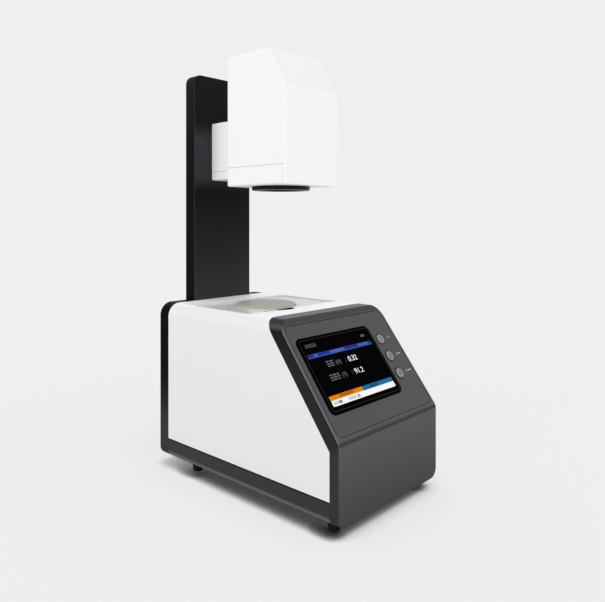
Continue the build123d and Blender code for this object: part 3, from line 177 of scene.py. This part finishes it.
class Shader:
    """A material's nodes, with short calls for the ones used here."""

    def __init__(self, name):
        self.material = bpy.data.materials.new(name)
        self.material.use_nodes = True
        self.tree = self.material.node_tree
        self.surface = self.tree.nodes["Principled BSDF"]
        self.coords = self.add("ShaderNodeTexCoord")

    def add(self, kind, **values):
        node = self.tree.nodes.new(kind)
        for key, value in values.items():
            setattr(node, key, value)
        return node

    def link(self, source, target):
        self.tree.links.new(source, target)

    def drive(self, **sources):
        """Link sockets to the surface's inputs of these names."""
        for key, source in sources.items():
            self.link(source, self.surface.inputs[key.replace("_", " ")])

    def set(self, **values):
        """Set the surface's inputs of these names to plain values."""
        for key, value in values.items():
            self.surface.inputs[key.replace("_", " ")].default_value = value

    def noise(self, scale, detail=3.0, rough=0.55, stretch=None):
        node = self.add("ShaderNodeTexNoise")
        node.inputs["Scale"].default_value = scale
        node.inputs["Detail"].default_value = detail
        node.inputs["Roughness"].default_value = rough
        source = self.coords.outputs["Object"]
        if stretch:
            mapping = self.add("ShaderNodeMapping")
            mapping.inputs["Scale"].default_value = stretch
            self.link(source, mapping.inputs["Vector"])
            source = mapping.outputs["Vector"]
        self.link(source, node.inputs["Vector"])
        return node.outputs["Fac"]

    def ranged(self, source, low, high, out_low, out_high):
        """source from low to high, as out_low to out_high."""
        node = self.add("ShaderNodeMapRange")
        keys = ("From Min", "From Max", "To Min", "To Max")
        for key, value in zip(keys, (low, high, out_low, out_high)):
            node.inputs[key].default_value = value
        self.link(source, node.inputs["Value"])
        return node.outputs["Result"]

    def mixed(self, factor, first, second):
        """first and second are colours or sockets."""
        node = self.add("ShaderNodeMix", data_type="RGBA")
        self.link(factor, node.inputs["Factor"])
        for value, socket in ((first, node.inputs["A"]), (second, node.inputs["B"])):
            if isinstance(value, bpy.types.NodeSocket):
                self.link(value, socket)
            else:
                socket.default_value = value
        return node.outputs["Result"]

    def part(self, output, axis):
        """One axis of the surface normal ("Normal") or of the place on the piece ("Object")."""
        parts = self.add("ShaderNodeSeparateXYZ")
        self.link(self.coords.outputs[output], parts.inputs["Vector"])
        return parts.outputs[axis]

    def toward(self, direction, start, end):
        """0 to 1 as the surface normal's share along a direction goes from start to end."""
        dot = self.add("ShaderNodeVectorMath", operation="DOT_PRODUCT")
        self.link(self.coords.outputs["Normal"], dot.inputs[0])
        dot.inputs[1].default_value = direction
        return self.ranged(dot.outputs["Value"], start, end, 0.0, 1.0)

    def beside(self, start, end):
        """0 to 1 as the surface turns to either side, along X."""
        size = self.add("ShaderNodeMath", operation="ABSOLUTE")
        self.link(self.part("Normal", "X"), size.inputs[0])
        return self.ranged(size.outputs["Value"], start, end, 0.0, 1.0)

    def near(self, place, reach):
        """1 within reach of a place, and 0 just past it."""
        gap = self.add("ShaderNodeVectorMath", operation="DISTANCE")
        self.link(self.coords.outputs["Object"], gap.inputs[0])
        gap.inputs[1].default_value = place
        return self.ranged(gap.outputs["Value"], reach, reach + MM, 1.0, 0.0)

    def shaded(self, tone, source, shares):
        """tone times a share that follows source; shares are pairs of a value and the share there."""
        low, high = shares[0][0], shares[-1][0]
        ramp = self.add("ShaderNodeValToRGB")
        stops = ramp.color_ramp.elements
        stops.remove(stops[1])
        for i, (value, share) in enumerate(shares):
            place = (value - low) / (high - low)
            stop = stops[0] if i == 0 else stops.new(place)
            stop.position = place
            stop.color = grey(share)
        self.link(self.ranged(source, low, high, 0.0, 1.0), ramp.inputs["Fac"])
        node = self.add("ShaderNodeMix", data_type="RGBA", blend_type="MULTIPLY")
        node.inputs["Factor"].default_value = 1.0
        self.link(tone, node.inputs["A"])
        self.link(ramp.outputs["Color"], node.inputs["B"])
        return node.outputs["Result"]

    def by_rise(self, tone, shares):
        """shaded, by the surface normal's part along Z."""
        return self.shaded(tone, self.part("Normal", "Z"), shares)

    def by_height(self, tone, shares):
        """shaded, by heights in mm."""
        metres = [(height * MM, share) for height, share in shares]
        return self.shaded(tone, self.part("Object", "Z"), metres)

    def bump(self, height, depth, strength):
        node = self.add("ShaderNodeBump")
        node.inputs["Distance"].default_value = depth
        node.inputs["Strength"].default_value = strength
        self.link(height, node.inputs["Height"])
        self.drive(Normal=node.outputs["Normal"])


def moulded(name, colour, rough=0.4, grain=1400.0, depth=0.00004, spread=0.06, specular=0.5, finish=None):
    """Moulded plastic or powder coat: clouded colour, uneven gloss and a fine surface grain.

    finish paints light and shade into the clouded colour, by the way the surface faces and by its height.
    """
    shader = Shader(name)
    clouds = shader.noise(MOULDED_CLOUDS, detail=4.0)
    fine = shader.noise(grain, detail=2.0, rough=0.6)
    tone = shader.mixed(clouds, tinted(colour, 1 - spread), tinted(colour, 1 + spread))
    if finish:
        tone = finish(shader, tone)
    gloss = shader.ranged(clouds, NOISE_LOW, NOISE_HIGH,
                          rough - MOULDED_SMOOTHER, rough + MOULDED_ROUGHER)
    shader.drive(Base_Color=tone, Roughness=gloss)
    shader.bump(fine, depth, GRAIN_STRENGTH)
    shader.set(Specular_IOR_Level=specular)
    return shader.material


def metal(name, colour, rough=0.35, stretch=(30.0, 30.0, 900.0)):
    """Metal with brushed streaks and a cloudy plated tone."""
    shader = Shader(name)
    streaks = shader.noise(1.0, detail=4.0, stretch=stretch)
    clouds = shader.noise(METAL_CLOUDS)
    tone = shader.mixed(clouds, tinted(colour, METAL_DULL), tinted(colour, METAL_BRIGHT))
    gloss = shader.ranged(streaks, NOISE_LOW, NOISE_HIGH, rough - METAL_SWING, rough + METAL_SWING)
    shader.drive(Base_Color=tone, Roughness=gloss)
    shader.bump(streaks, STREAK_DEPTH, STREAK_STRENGTH)
    shader.set(Metallic=1.0)
    return shader.material


def glass(name, colour, rough=0.05, specular=0.5, spread=0.05, transmission=0.0, coat=0.0, finish=None):
    """A polished pane: clouded colour, faint wiping marks in the gloss and any painted shade from finish."""
    shader = Shader(name)
    clouds = shader.noise(PANE_CLOUDS)
    smears = shader.noise(1.0, detail=5.0, stretch=SMEAR_STRETCH)
    tone = shader.mixed(clouds, tinted(colour, 1 - spread), tinted(colour, 1 + spread))
    if finish:
        tone = finish(shader, tone)
    gloss = shader.ranged(smears, SMEAR_LOW, NOISE_HIGH, rough, rough + SMEAR_ROUGHER)
    shader.drive(Base_Color=tone, Roughness=gloss)
    shader.bump(smears, SMEAR_DEPTH, SMEAR_STRENGTH)
    shader.set(Specular_IOR_Level=specular, Transmission_Weight=transmission, Coat_Weight=coat)
    return shader.material


def glowing(name, colour):
    """A lit patch of the display, with its pixel rows."""
    shader = Shader(name)
    rows = shader.add("ShaderNodeTexWave", wave_type="BANDS", bands_direction="Z")
    rows.inputs["Scale"].default_value = PIXEL_ROWS
    shader.link(shader.coords.outputs["Object"], rows.inputs["Vector"])
    tone = shader.mixed(rows.outputs["Fac"], tinted(colour, PIXEL_ROW_SHARE), colour)
    shader.drive(Emission_Color=tone)
    shader.set(Emission_Strength=1.0, Base_Color=grey(DISPLAY_BASE), Roughness=DISPLAY_ROUGH,
               Specular_IOR_Level=0.0)
    return shader.material


def bezel_finish(shader, tone):
    """Painted shade: darker sides and bend; and a painted highlight along the slope's rounded edge."""
    front = shader.by_height(shader.by_rise(tone, BEZEL_BEND), BEZEL_FRONT)
    face = shader.mixed(shader.beside(start=0.9, end=0.97), front, shader.by_height(tone, BEZEL_SIDE))
    return shader.mixed(shader.toward(SLOPE_EDGE, start=0.93, end=0.99), face, BEZEL_EDGE_HIGHLIGHT)


def tray_finish(shader, tone):
    """A painted reflection on the lower rounding and a line of painted shade under the seam."""
    return shader.by_height(shader.by_rise(tone, TRAY_TURN), TRAY_SEAM)


def rear_finish(shader, tone):
    """Painted shade: near black round the rim and up the sides, plain on the back."""
    rim = shader.mixed(shader.beside(start=0.5, end=0.9), REAR_RIM_SHADE, shader.by_height(tone, REAR_SIDE))
    return shader.mixed(shader.toward(BACK, start=0.5, end=0.9), rim, tone)


def column_finish(shader, tone):
    """Painted shade: a front lighter toward its foot, dark sides, a painted highlight on the edge between
    them and a plain back.
    """
    front = shader.by_height(tone, COLUMN_FRONT)
    face = shader.mixed(shader.beside(start=0.93, end=0.98), front, shader.by_height(tone, COLUMN_SIDE))
    face = shader.mixed(shader.toward(BACK, start=0.5, end=0.9), face, tone)
    return shader.mixed(shader.toward(FRONT_LEFT, start=0.9, end=0.99), face, COLUMN_EDGE_HIGHLIGHT)


def plate_finish(shader, tone):
    """Painted shade: dark cut edges that face the front and the left."""
    return shader.mixed(shader.toward(FRONT_LEFT, start=0.3, end=0.5), tone, CUT_EDGE_SHADE)


def cover_finish(shader, tone):
    """Painted light on the top, and painted shade on the cut edge in the finger notch."""
    wall = shader.mixed(shader.near(NOTCH_PLACE, NOTCH_REACH), tone, CUT_EDGE_SHADE)
    return shader.mixed(shader.toward(UP, start=0.8, end=0.98), wall, tinted(WHITE, CASING_TOP_SHARE))


def head_finish(shader, tone):
    """Painted light and shade: a brighter front under a slightly duller slope and top."""
    face = shader.mixed(shader.toward(FRONT, start=0.9, end=0.98), tone, tinted(WHITE, HEAD_FRONT_SHARE))
    return shader.by_rise(face, HEAD_RISE)


materials = {
    "white_casing": moulded("white_casing", tinted(WHITE, CASING_SHARE), rough=0.42, depth=0.000015,
                            spread=0.005, specular=0.3, finish=cover_finish),
    "arm_white": moulded("arm_white", tinted(WHITE, ARM_SHARE), rough=0.4, depth=0.000015, spread=0.004,
                         specular=0.3),
    "head_white": moulded("head_white", tinted(WHITE, HEAD_SHARE), rough=0.4, depth=0.000015, spread=0.004,
                          specular=0.3, finish=head_finish),
    "bezel_dark": moulded("bezel_dark", linear(84, 84, 86), specular=0.05, spread=0.03,
                          finish=bezel_finish),
    "tray_dark": moulded("tray_dark", linear(55, 55, 58), specular=0.06, spread=0.03, finish=tray_finish),
    "rear_dark": moulded("rear_dark", linear(57, 57, 60), specular=0.012, rough=0.35, finish=rear_finish),
    "column_dark": moulded("column_dark", linear(43, 43, 46), specular=0.02, spread=0.03,
                           finish=column_finish),
    "fascia_dark": moulded("fascia_dark", linear(80, 80, 81), grain=2600.0, depth=0.00001, rough=0.45,
                           specular=0.06, spread=0.02),
    "screen_glass": glass("screen_glass", linear(4, 4, 5), specular=0.0, rough=0.1),
    "display": moulded("display", linear(50, 52, 56)),
    "button_grey": moulded("button_grey", linear(136, 137, 137), rough=0.42, depth=0.00001, specular=0.15),
    "button_ring": moulded("button_ring", linear(26, 26, 28), rough=0.3, specular=0.08),
    "stage_plate": glass("stage_plate", linear(213, 213, 208), rough=0.2, specular=0.15, spread=0.02,
                         finish=plate_finish),
    "well_black": moulded("well_black", linear(12, 12, 13), specular=0.03),
    "port_rim": moulded("port_rim", linear(188, 189, 182), rough=0.35, specular=0.1),
    "port_glass": glass("port_glass", linear(166, 168, 159), rough=0.4, specular=0.08, spread=0.02),
    "sphere_white": moulded("sphere_white", linear(236, 236, 232), rough=0.8, grain=700.0),
    "frame_steel": metal("frame_steel", (0.55, 0.56, 0.58, 1)),
    "board": moulded("board", linear(24, 92, 48), rough=0.35, grain=400.0, depth=0.00003),
    "foot_rubber": moulded("foot_rubber", linear(30, 30, 31), rough=0.7, grain=900.0, specular=0.08),
    "lens_black": moulded("lens_black", linear(14, 14, 15), rough=0.35, specular=0.1),
    "lens_glass": glass("lens_glass", (0.8, 0.84, 0.88, 1), rough=0.03, transmission=0.6, coat=0.5),
    "optics_black": metal("optics_black", (0.05, 0.05, 0.055, 1), rough=0.45),
    "heat_sink": metal("heat_sink", (0.68, 0.68, 0.70, 1), rough=0.4),
    "screw_steel": metal("screw_steel", (0.56, 0.56, 0.58, 1), rough=0.3, stretch=(400.0, 400.0, 400.0)),
    "socket_black": moulded("socket_black", linear(22, 22, 24), rough=0.45, specular=0.2),
}
# Nodes that don't take the material of their own slot
finishes = {"head_shell": "head_white", "head_lower_cover": "head_white", "arm_cover": "arm_white",
            "arm_lower_cover": "arm_white", "front_bezel": "bezel_dark", "bottom_tray": "tray_dark",
            "rear_panel": "rear_dark", "column_cover": "column_dark", "control_fascia": "fascia_dark"}
slots = {entry["node"]: entry["material_slot"] for entry in frame["record"]["subparts"]}
for name, node in nodes.items():
    finish = materials[finishes.get(name, slots[name])]
    node.data.materials.clear()
    node.data.materials.append(finish)

# Straight steps in a rounded corner and in a ring
CORNER_STEPS = 5
RING_STEPS = 24


def new_piece(name, mesh, finish, body=BODY):
    piece = bpy.data.objects.new(name, mesh)
    bpy.context.scene.collection.objects.link(piece)
    mesh.materials.append(finish)
    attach(piece, body)
    return piece


def prism(name, outlines, low, high, finish, place=panel_frame, body=BODY):
    """Flat plates: closed outlines in mm, raised from low to high mm over a plane."""
    mesh = bpy.data.meshes.new(name)
    shape = bmesh.new()
    for outline in outlines:
        lower = [shape.verts.new((x * MM, y * MM, low * MM)) for x, y in outline]
        upper = [shape.verts.new((x * MM, y * MM, high * MM)) for x, y in outline]
        shape.faces.new(upper)
        shape.faces.new(list(reversed(lower)))
        for i in range(len(outline)):
            j = (i + 1) % len(outline)
            shape.faces.new((lower[i], lower[j], upper[j], upper[i]))
    shape.transform(place)
    bmesh.ops.recalc_face_normals(shape, faces=shape.faces)
    shape.to_mesh(mesh)
    shape.free()
    return new_piece(name, mesh, finish, body)


def rectangle(left, bottom, right, top, radius=0.0):
    """A rectangle's corners in order, rounded by radius."""
    if not radius:
        return [(left, bottom), (right, bottom), (right, top), (left, top)]
    points = []
    centres = ((right - radius, bottom + radius, -90), (right - radius, top - radius, 0),
               (left + radius, top - radius, 90), (left + radius, bottom + radius, 180))
    for x, y, start in centres:
        for step in range(CORNER_STEPS + 1):
            angle = radians(start + 90 * step / CORNER_STEPS)
            points.append((x + radius * cos(angle), y + radius * sin(angle)))
    return points


def ring_outline(x, y, outer, inner, start=0, sweep=360):
    """Short straight blocks round a circle, from start over sweep degrees."""
    blocks = []
    for i in range(RING_STEPS):
        a = radians(start + sweep * i / RING_STEPS)
        b = radians(start + sweep * (i + 1) / RING_STEPS)
        corners = ((inner, a), (outer, a), (outer, b), (inner, b))
        blocks.append([(x + radius * cos(angle), y + radius * sin(angle)) for radius, angle in corners])
    return blocks


def text_piece(name, text, left, bottom, height, raised, finish, bold=0.0):
    """Plain figures, height mm tall, on the panel; bold adds a second copy that much mm to the right."""
    curve = bpy.data.curves.new(name, "FONT")
    curve.body = text
    curve.extrude = LIT_STEP_MM * MM / 2
    loose = bpy.data.objects.new(name, curve)
    bpy.context.scene.collection.objects.link(loose)
    bpy.context.view_layer.update()
    flat_mesh = bpy.data.meshes.new_from_object(loose)
    bpy.data.objects.remove(loose)
    ups = [vertex.co.y for vertex in flat_mesh.vertices]
    scale = height * MM / (max(ups) - min(ups))
    shape = bmesh.new()
    for copy in range(2 if bold else 1):
        corner = Vector((left + copy * bold, bottom, raised + copy * LIT_STEP_MM / 2)) * MM
        turned = flat_mesh.copy()
        turned.transform(panel_frame @ Matrix.Translation(corner) @ Matrix.Diagonal((scale, scale, 1, 1)))
        shape.from_mesh(turned)
    mesh = bpy.data.meshes.new(name)
    shape.to_mesh(mesh)
    shape.free()
    return new_piece(name, mesh, finish)


# Lit picture on the screen's face: plates in the display's own colours
LIT_COLOURS = {
    "blue": (42, 52, 140), "orange": (238, 128, 22), "cyan": (34, 112, 156), "white": (250, 250, 252),
    "grey": (150, 152, 156), "faint": (112, 113, 116), "ochre": (88, 48, 6), "navy": (8, 42, 66),
    "sea": (44, 100, 190), "ink": (70, 70, 72), "dark": (3, 3, 6), "pale_blue": (120, 130, 200),
    "yellow": (206, 170, 30),
}
lit = {name: glowing("lit_" + name, linear(*colour)) for name, colour in LIT_COLOURS.items()}

# The picture's edges, in mm on the panel
LIT_LEFT, LIT_RIGHT = -78.2, 38.9
LIT_BOTTOM, LIT_TOP = 37.8, 113.0
LIT_RADIUS = 1.5
TITLE_BAR_BOTTOM, TITLE_BAR_TOP = 95.3, 100.3
TITLE_EDGE_TOP = TITLE_BAR_BOTTOM + 1.0
STATUS_LEFT, STATUS_SPLIT = LIT_LEFT + 0.8, -19.7
STATUS_BOTTOM, STATUS_TOP = 44.4, 49.7
STATUS_EDGE_TOP = STATUS_BOTTOM + 1.3
FOOT_LEFT = LIT_LEFT + 1.2
# Its plates: name, colour, level over the glass, and left, bottom, right, top and radius
PLATES = (
    ("picture", "dark", 0, (LIT_LEFT, LIT_BOTTOM, LIT_RIGHT, LIT_TOP, LIT_RADIUS)),
    ("title_bar", "blue", 1, (LIT_LEFT, TITLE_BAR_BOTTOM, LIT_RIGHT, TITLE_BAR_TOP)),
    ("title_edge", "sea", 2, (LIT_LEFT, TITLE_BAR_BOTTOM, LIT_RIGHT, TITLE_EDGE_TOP)),
    ("status_left", "orange", 1, (STATUS_LEFT, STATUS_BOTTOM, STATUS_SPLIT, STATUS_TOP)),
    ("status_edge", "yellow", 2, (STATUS_LEFT, STATUS_BOTTOM, STATUS_SPLIT, STATUS_EDGE_TOP)),
    ("status_right", "cyan", 1, (STATUS_SPLIT, STATUS_BOTTOM, LIT_RIGHT, STATUS_TOP)),
    ("foot_bar", "white", 1, (FOOT_LEFT, LIT_BOTTOM, LIT_RIGHT, STATUS_BOTTOM, LIT_RADIUS)),
)
# Its written signs: name, colour, level, thickness, and each row's left, bottom, count, width, height
# and gap
SIGNS = (
    ("title_words", "faint", 1, 0.4, [(-74.7, 108.3, 4, 3.9, 4.0, 0.8)]),
    ("clock_words", "grey", 1, 0.3, [(25.5, 107.2, 3, 1.9, 2.8, 0.7)]),
    ("bar_words", "pale_blue", 3, 0.4, [(-68.0, 96.8, 2, 2.6, 2.8, 0.7), (-40.0, 96.8, 8, 2.6, 2.8, 0.7),
                                        (12.0, 96.8, 6, 2.6, 2.8, 0.7)]),
    ("label_words_1", "grey", 1, 0.4, [(-55.5, 81.6, 2, 5.6, 7.0, 1.0)]),
    ("label_words_2", "grey", 1, 0.4, [(-60.5, 65.4, 3, 5.0, 7.0, 1.0)]),
    ("status_words_1", "ochre", 3, 0.6, [(-60.0, 45.9, 7, 2.6, 3.2, 0.8)]),
    ("status_words_2", "navy", 2, 0.6, [(-6.0, 45.6, 5, 2.6, 3.0, 0.8)]),
    ("foot_words", "ink", 2, 0.35, [(-74.5, 39.6, 3, 2.2, 3.2, 0.6), (-49.0, 39.6, 5, 2.2, 3.2, 0.6)]),
)
# Where a sign's strokes start, as shares of its height and of its width: by turns it has one upright or two
CROSS_STROKES = (0.0, 0.45, 0.92)
UPRIGHTS = ((0.45,), (0.1, 0.8))
# The measured values: line, bottom, letter and figures; then places and sizes in mm
VALUES = ((1, 81.4, "(H)", "0.32"), (2, 65.4, "(T)", "91.2"))
LETTER_LEFT, COLON_LEFT, VALUE_LEFT = -40.0, -22.5, -17.2
LETTER_RISE = 0.8
VALUE_HEIGHT, COLON_HEIGHT = 6.6, 4.0
VALUE_BOLD = 0.25
# The counts in the foot bar: number, left, figures and colour; then places and sizes in mm
COUNTS = ((1, -66.0, "08", "dark"), (2, -34.0, "20", "ink"))
COUNT_BOTTOM, COUNT_HEIGHT, COUNT_BOLD = 39.4, 3.6, 0.4


def lit_plate(name, colour, outlines, level):
    low = WINDOW_FACE_MM + level * LIT_STEP_MM
    return prism("screen_" + name, outlines, low, low + LIT_STEP_MM, lit[colour])


def lit_text(name, text, left, bottom, height, colour, bold=0.0, raised=FIGURES_MM):
    return text_piece("screen_" + name, text, left, bottom, height, raised, lit[colour], bold)


def strokes(left, bottom, count, width, height, gap, thick):
    """Small written signs in a row, each a few strokes that stand for a character."""
    signs = []
    for i in range(count):
        x = left + i * (width + gap)
        for share in CROSS_STROKES:
            low = bottom + share * (height - thick)
            signs.append(rectangle(x, low, x + width, low + thick))
        for share in UPRIGHTS[i % 2]:
            signs.append(rectangle(x + share * width, bottom, x + share * width + thick, bottom + height))
    return signs


for name, colour, level, edges in PLATES:
    lit_plate(name, colour, [rectangle(*edges)], level)
for name, colour, level, thick, rows in SIGNS:
    lit_plate(name, colour, [sign for row in rows for sign in strokes(*row, thick)], level)
for line, bottom, letter, figures in VALUES:
    raised_bottom = bottom + LETTER_RISE
    lit_text("letter_%d" % line, letter, LETTER_LEFT, raised_bottom, VALUE_HEIGHT, "faint")
    lit_text("colon_%d" % line, ":", COLON_LEFT, raised_bottom, COLON_HEIGHT, "faint")
    lit_text("figures_%d" % line, figures, VALUE_LEFT, bottom, VALUE_HEIGHT, "white", VALUE_BOLD)
for number, left, figures, colour in COUNTS:
    lit_text("count_%d" % number, figures, left, COUNT_BOTTOM, COUNT_HEIGHT, colour, COUNT_BOLD,
             FIGURES_MM + LIT_STEP_MM)

# A fine step round the glass, inside its edge, in mm on the panel: a thin lighter line, a painted highlight
# on the step
WINDOW_BOX_MM = (-84.7, 29.3, 47.5, 121.0)
WINDOW_RADIUS_MM = 8.0
STEP_INSET_MM = 3.0
STEP_WIDTH_MM = 0.6


def window_outline(inset):
    left, bottom, right, top = WINDOW_BOX_MM
    return rectangle(left + inset, bottom + inset, right - inset, top - inset, WINDOW_RADIUS_MM - inset)


step_outer, step_inner = window_outline(STEP_INSET_MM), window_outline(STEP_INSET_MM + STEP_WIDTH_MM)
step_blocks = [[step_inner[i - 1], step_outer[i - 1], step_outer[i], step_inner[i]]
               for i in range(len(step_outer))]
step_highlight_grey = moulded("step_highlight_grey", linear(46, 45, 45), specular=0.02, depth=0.000005)
prism("screen_step_highlight", step_blocks, WINDOW_FACE_MM, WINDOW_FACE_MM + LIT_STEP_MM, step_highlight_grey)

# Icons on the caps, in mm from a cap's middle: rings as outer and inner radius, start and sweep in degrees,
# and boxes as left, bottom, right and top
BUTTON_X = 60.5
BUTTON_UP = {"upper": 99.15, "middle": 75.15, "lower": 51.15}
ICONS = {
    "upper": ([(3.0, 2.2, 130, 280)], [(-0.5, 0.4, 0.5, 3.4)]),
    "middle": ([], [(-2.6, -3.0, -1.8, 3.0), (1.8, -3.0, 2.6, 3.0), (-1.8, 2.2, 1.8, 3.0),
                    (-1.8, -3.0, 1.8, -2.2), (-1.1, -0.5, 1.1, 0.5)]),
    "lower": ([(3.3, 2.6, 0, 360), (1.3, 0.1, 0, 360)], []),
}
# Figures and dashes beside the rings, in mm: places, sizes, and a dash's length for each count
MARK_LEFT, MARK_DROP, MARK_HEIGHT = 74.5, 0.8, 3.0
DASH_LEFT, DASH_LOW, DASH_HIGH, DASH_LENGTH = 78.4, 0.3, 1.0, 2.6

ink = moulded("ink_white", linear(222, 223, 224), rough=0.5, grain=3000.0, depth=0.000005, spread=0.03)
cap_ink = moulded("cap_ink", linear(66, 67, 69), rough=0.5, grain=3000.0, depth=0.000005, spread=0.03)
for place, (rings, boxes) in ICONS.items():
    up = BUTTON_UP[place]
    outlines = [block for ring in rings for block in ring_outline(BUTTON_X, up, *ring)]
    for left, bottom, right, top in boxes:
        outlines.append(rectangle(BUTTON_X + left, up + bottom, BUTTON_X + right, up + top))
    prism("icon_" + place, outlines, BUTTON_FACE_MM, BUTTON_FACE_MM + INK_MM, cap_ink,
          body="button_" + place)
for number, (place, up) in enumerate(BUTTON_UP.items(), 1):
    text_piece("mark_" + place, str(number), MARK_LEFT, up - MARK_DROP, MARK_HEIGHT, INK_MM, ink)
    dash = rectangle(DASH_LEFT, up + DASH_LOW, DASH_LEFT + DASH_LENGTH * number, up + DASH_HIGH)
    prism("dash_" + place, [dash], 0.0, INK_MM, ink)

# Marks on the rocker, seen from behind: a bar on its upper half and a ring on its lower half
ROCKER_PIVOT = Vector((0.066, 0.1525, 0.096))
ROCKER_TILT, ROCKER_SLOPE = 7, 11
ROCKER_VALLEY_MM, MARK_UP_MM = 2.4, 4.2
BAR_MM = (-0.35, -1.7, 0.35, 1.7)
RING_OUTER_MM, RING_INNER_MM = 1.7, 1.1


def rocker_face(up, lean):
    """A frame on one half of the rocker, up mm from its pivot, leaning by degrees."""
    tilt, lean = radians(ROCKER_TILT), radians(lean)
    out = Vector((0, cos(tilt), -sin(tilt)))
    along = Vector((0, sin(tilt), cos(tilt)))
    raised = ROCKER_VALLEY_MM + abs(up) * tan(radians(ROCKER_SLOPE))
    place = ROCKER_PIVOT + (out * raised + along * up) * MM
    face_right = Vector((-1, 0, 0))
    face_up = Vector((0, sin(lean), cos(lean)))
    face_out = Vector((0, cos(lean), -sin(lean)))
    return Matrix.Translation(place) @ Matrix((face_right, face_up, face_out)).transposed().to_4x4()


def rocker_mark(name, outlines, up, lean):
    return prism(name, outlines, 0.0, INK_MM, ink, place=rocker_face(up, lean),
                 body="power_rocker")


rocker_mark("mark_bar", [rectangle(*BAR_MM)], MARK_UP_MM, ROCKER_TILT + ROCKER_SLOPE)
rocker_mark("mark_ring", ring_outline(0, 0, RING_OUTER_MM, RING_INNER_MM), -MARK_UP_MM,
            ROCKER_TILT - ROCKER_SLOPE)

# Floor
half = FLOOR_SIZE / 2
floor_mesh = bpy.data.meshes.new("floor")
floor_corners = [(-half, -half, 0), (half, -half, 0), (half, half, 0), (-half, half, 0)]
floor_mesh.from_pydata(floor_corners, [], [(0, 1, 2, 3)])
floor = bpy.data.objects.new("floor", floor_mesh)
bpy.context.scene.collection.objects.link(floor)
shader = Shader("floor")
paper = shader.noise(PAPER_SCALE)
floor_tone = shader.mixed(paper, grey(FLOOR_TONE), grey(FLOOR_TONE * PAPER_SPREAD))
shader.set(Roughness=1.0, Specular_IOR_Level=0.0)
backdrop = shader.add("ShaderNodeEmission")
backdrop_tone = shader.mixed(paper, grey(BACKGROUND), grey(BACKGROUND * PAPER_SPREAD))
# Both tones darken where the object stands close
fade = shader.ranged(shader.part("Object", "Y"), REAR_FADE_START, REAR_FADE_END, 0.0, REAR_FADE_SHARE)
for direction, reach, shares in (SIDE_SHADE, FRONT_SHADE):
    near = shader.add("ShaderNodeAmbientOcclusion", samples=SHADE_SAMPLES)
    near.inputs["Distance"].default_value = reach
    lean = shader.add("ShaderNodeCombineXYZ")
    for axis, value in zip("XYZ", direction):
        lean.inputs[axis].default_value = value
    shader.link(lean.outputs["Vector"], near.inputs["Normal"])
    openness = near.outputs["AO"]
    floor_tone = shader.mixed(fade, shader.shaded(floor_tone, openness, shares), floor_tone)
    backdrop_tone = shader.mixed(fade, shader.shaded(backdrop_tone, openness, shares), backdrop_tone)
shader.drive(Base_Color=floor_tone)
shader.link(backdrop_tone, backdrop.inputs["Color"])
# Rays that show the floor see part of the backdrop's own light in it
rays = shader.add("ShaderNodeLightPath")
seen = rays.outputs["Is Camera Ray"]
for kind in ("Is Glossy Ray", "Is Transmission Ray"):
    either = shader.add("ShaderNodeMath", operation="MAXIMUM")
    shader.link(seen, either.inputs[0])
    shader.link(rays.outputs[kind], either.inputs[1])
    seen = either.outputs["Value"]
blend = shader.add("ShaderNodeMixShader")
shader.link(shader.ranged(seen, 0.0, 1.0, 0.0, BACKDROP_SHARE), blend.inputs["Fac"])
shader.link(shader.surface.outputs["BSDF"], blend.inputs[1])
shader.link(backdrop.outputs["Emission"], blend.inputs[2])
shader.link(blend.outputs["Shader"], shader.tree.nodes["Material Output"].inputs["Surface"])
floor_mesh.materials.append(shader.material)

# Light
world = bpy.data.worlds.new("studio")
bpy.context.scene.world = world
world.use_nodes = True
world_light = world.node_tree.nodes["Background"]
world_light.inputs["Color"].default_value = grey(BACKGROUND)
world_light.inputs["Strength"].default_value = 1.0
for name, direction, strength in SUNS:
    lamp = bpy.data.lights.new(name, "SUN")
    lamp.energy = strength
    lamp.angle = SUN_ANGLE
    sun = bpy.data.objects.new(name, lamp)
    sun.rotation_euler = Vector(direction).to_track_quat("-Z", "Y").to_euler()
    bpy.context.scene.collection.objects.link(sun)

# Camera
camera_data = bpy.data.cameras.new("camera")
camera_data.sensor_width = SENSOR_MM
camera_data.lens = FOCAL_PX / IMAGE_WIDTH * SENSOR_MM
camera_data.shift_y = (HORIZON_PX - IMAGE_HEIGHT / 2) / IMAGE_WIDTH
camera = bpy.data.objects.new("camera", camera_data)
camera.location = CAMERA_PLACE
camera.rotation_euler = (pi / 2, 0, -CAMERA_YAW)
bpy.context.scene.collection.objects.link(camera)
bpy.context.scene.camera = camera
bpy.context.scene.view_settings.view_transform = "Standard"
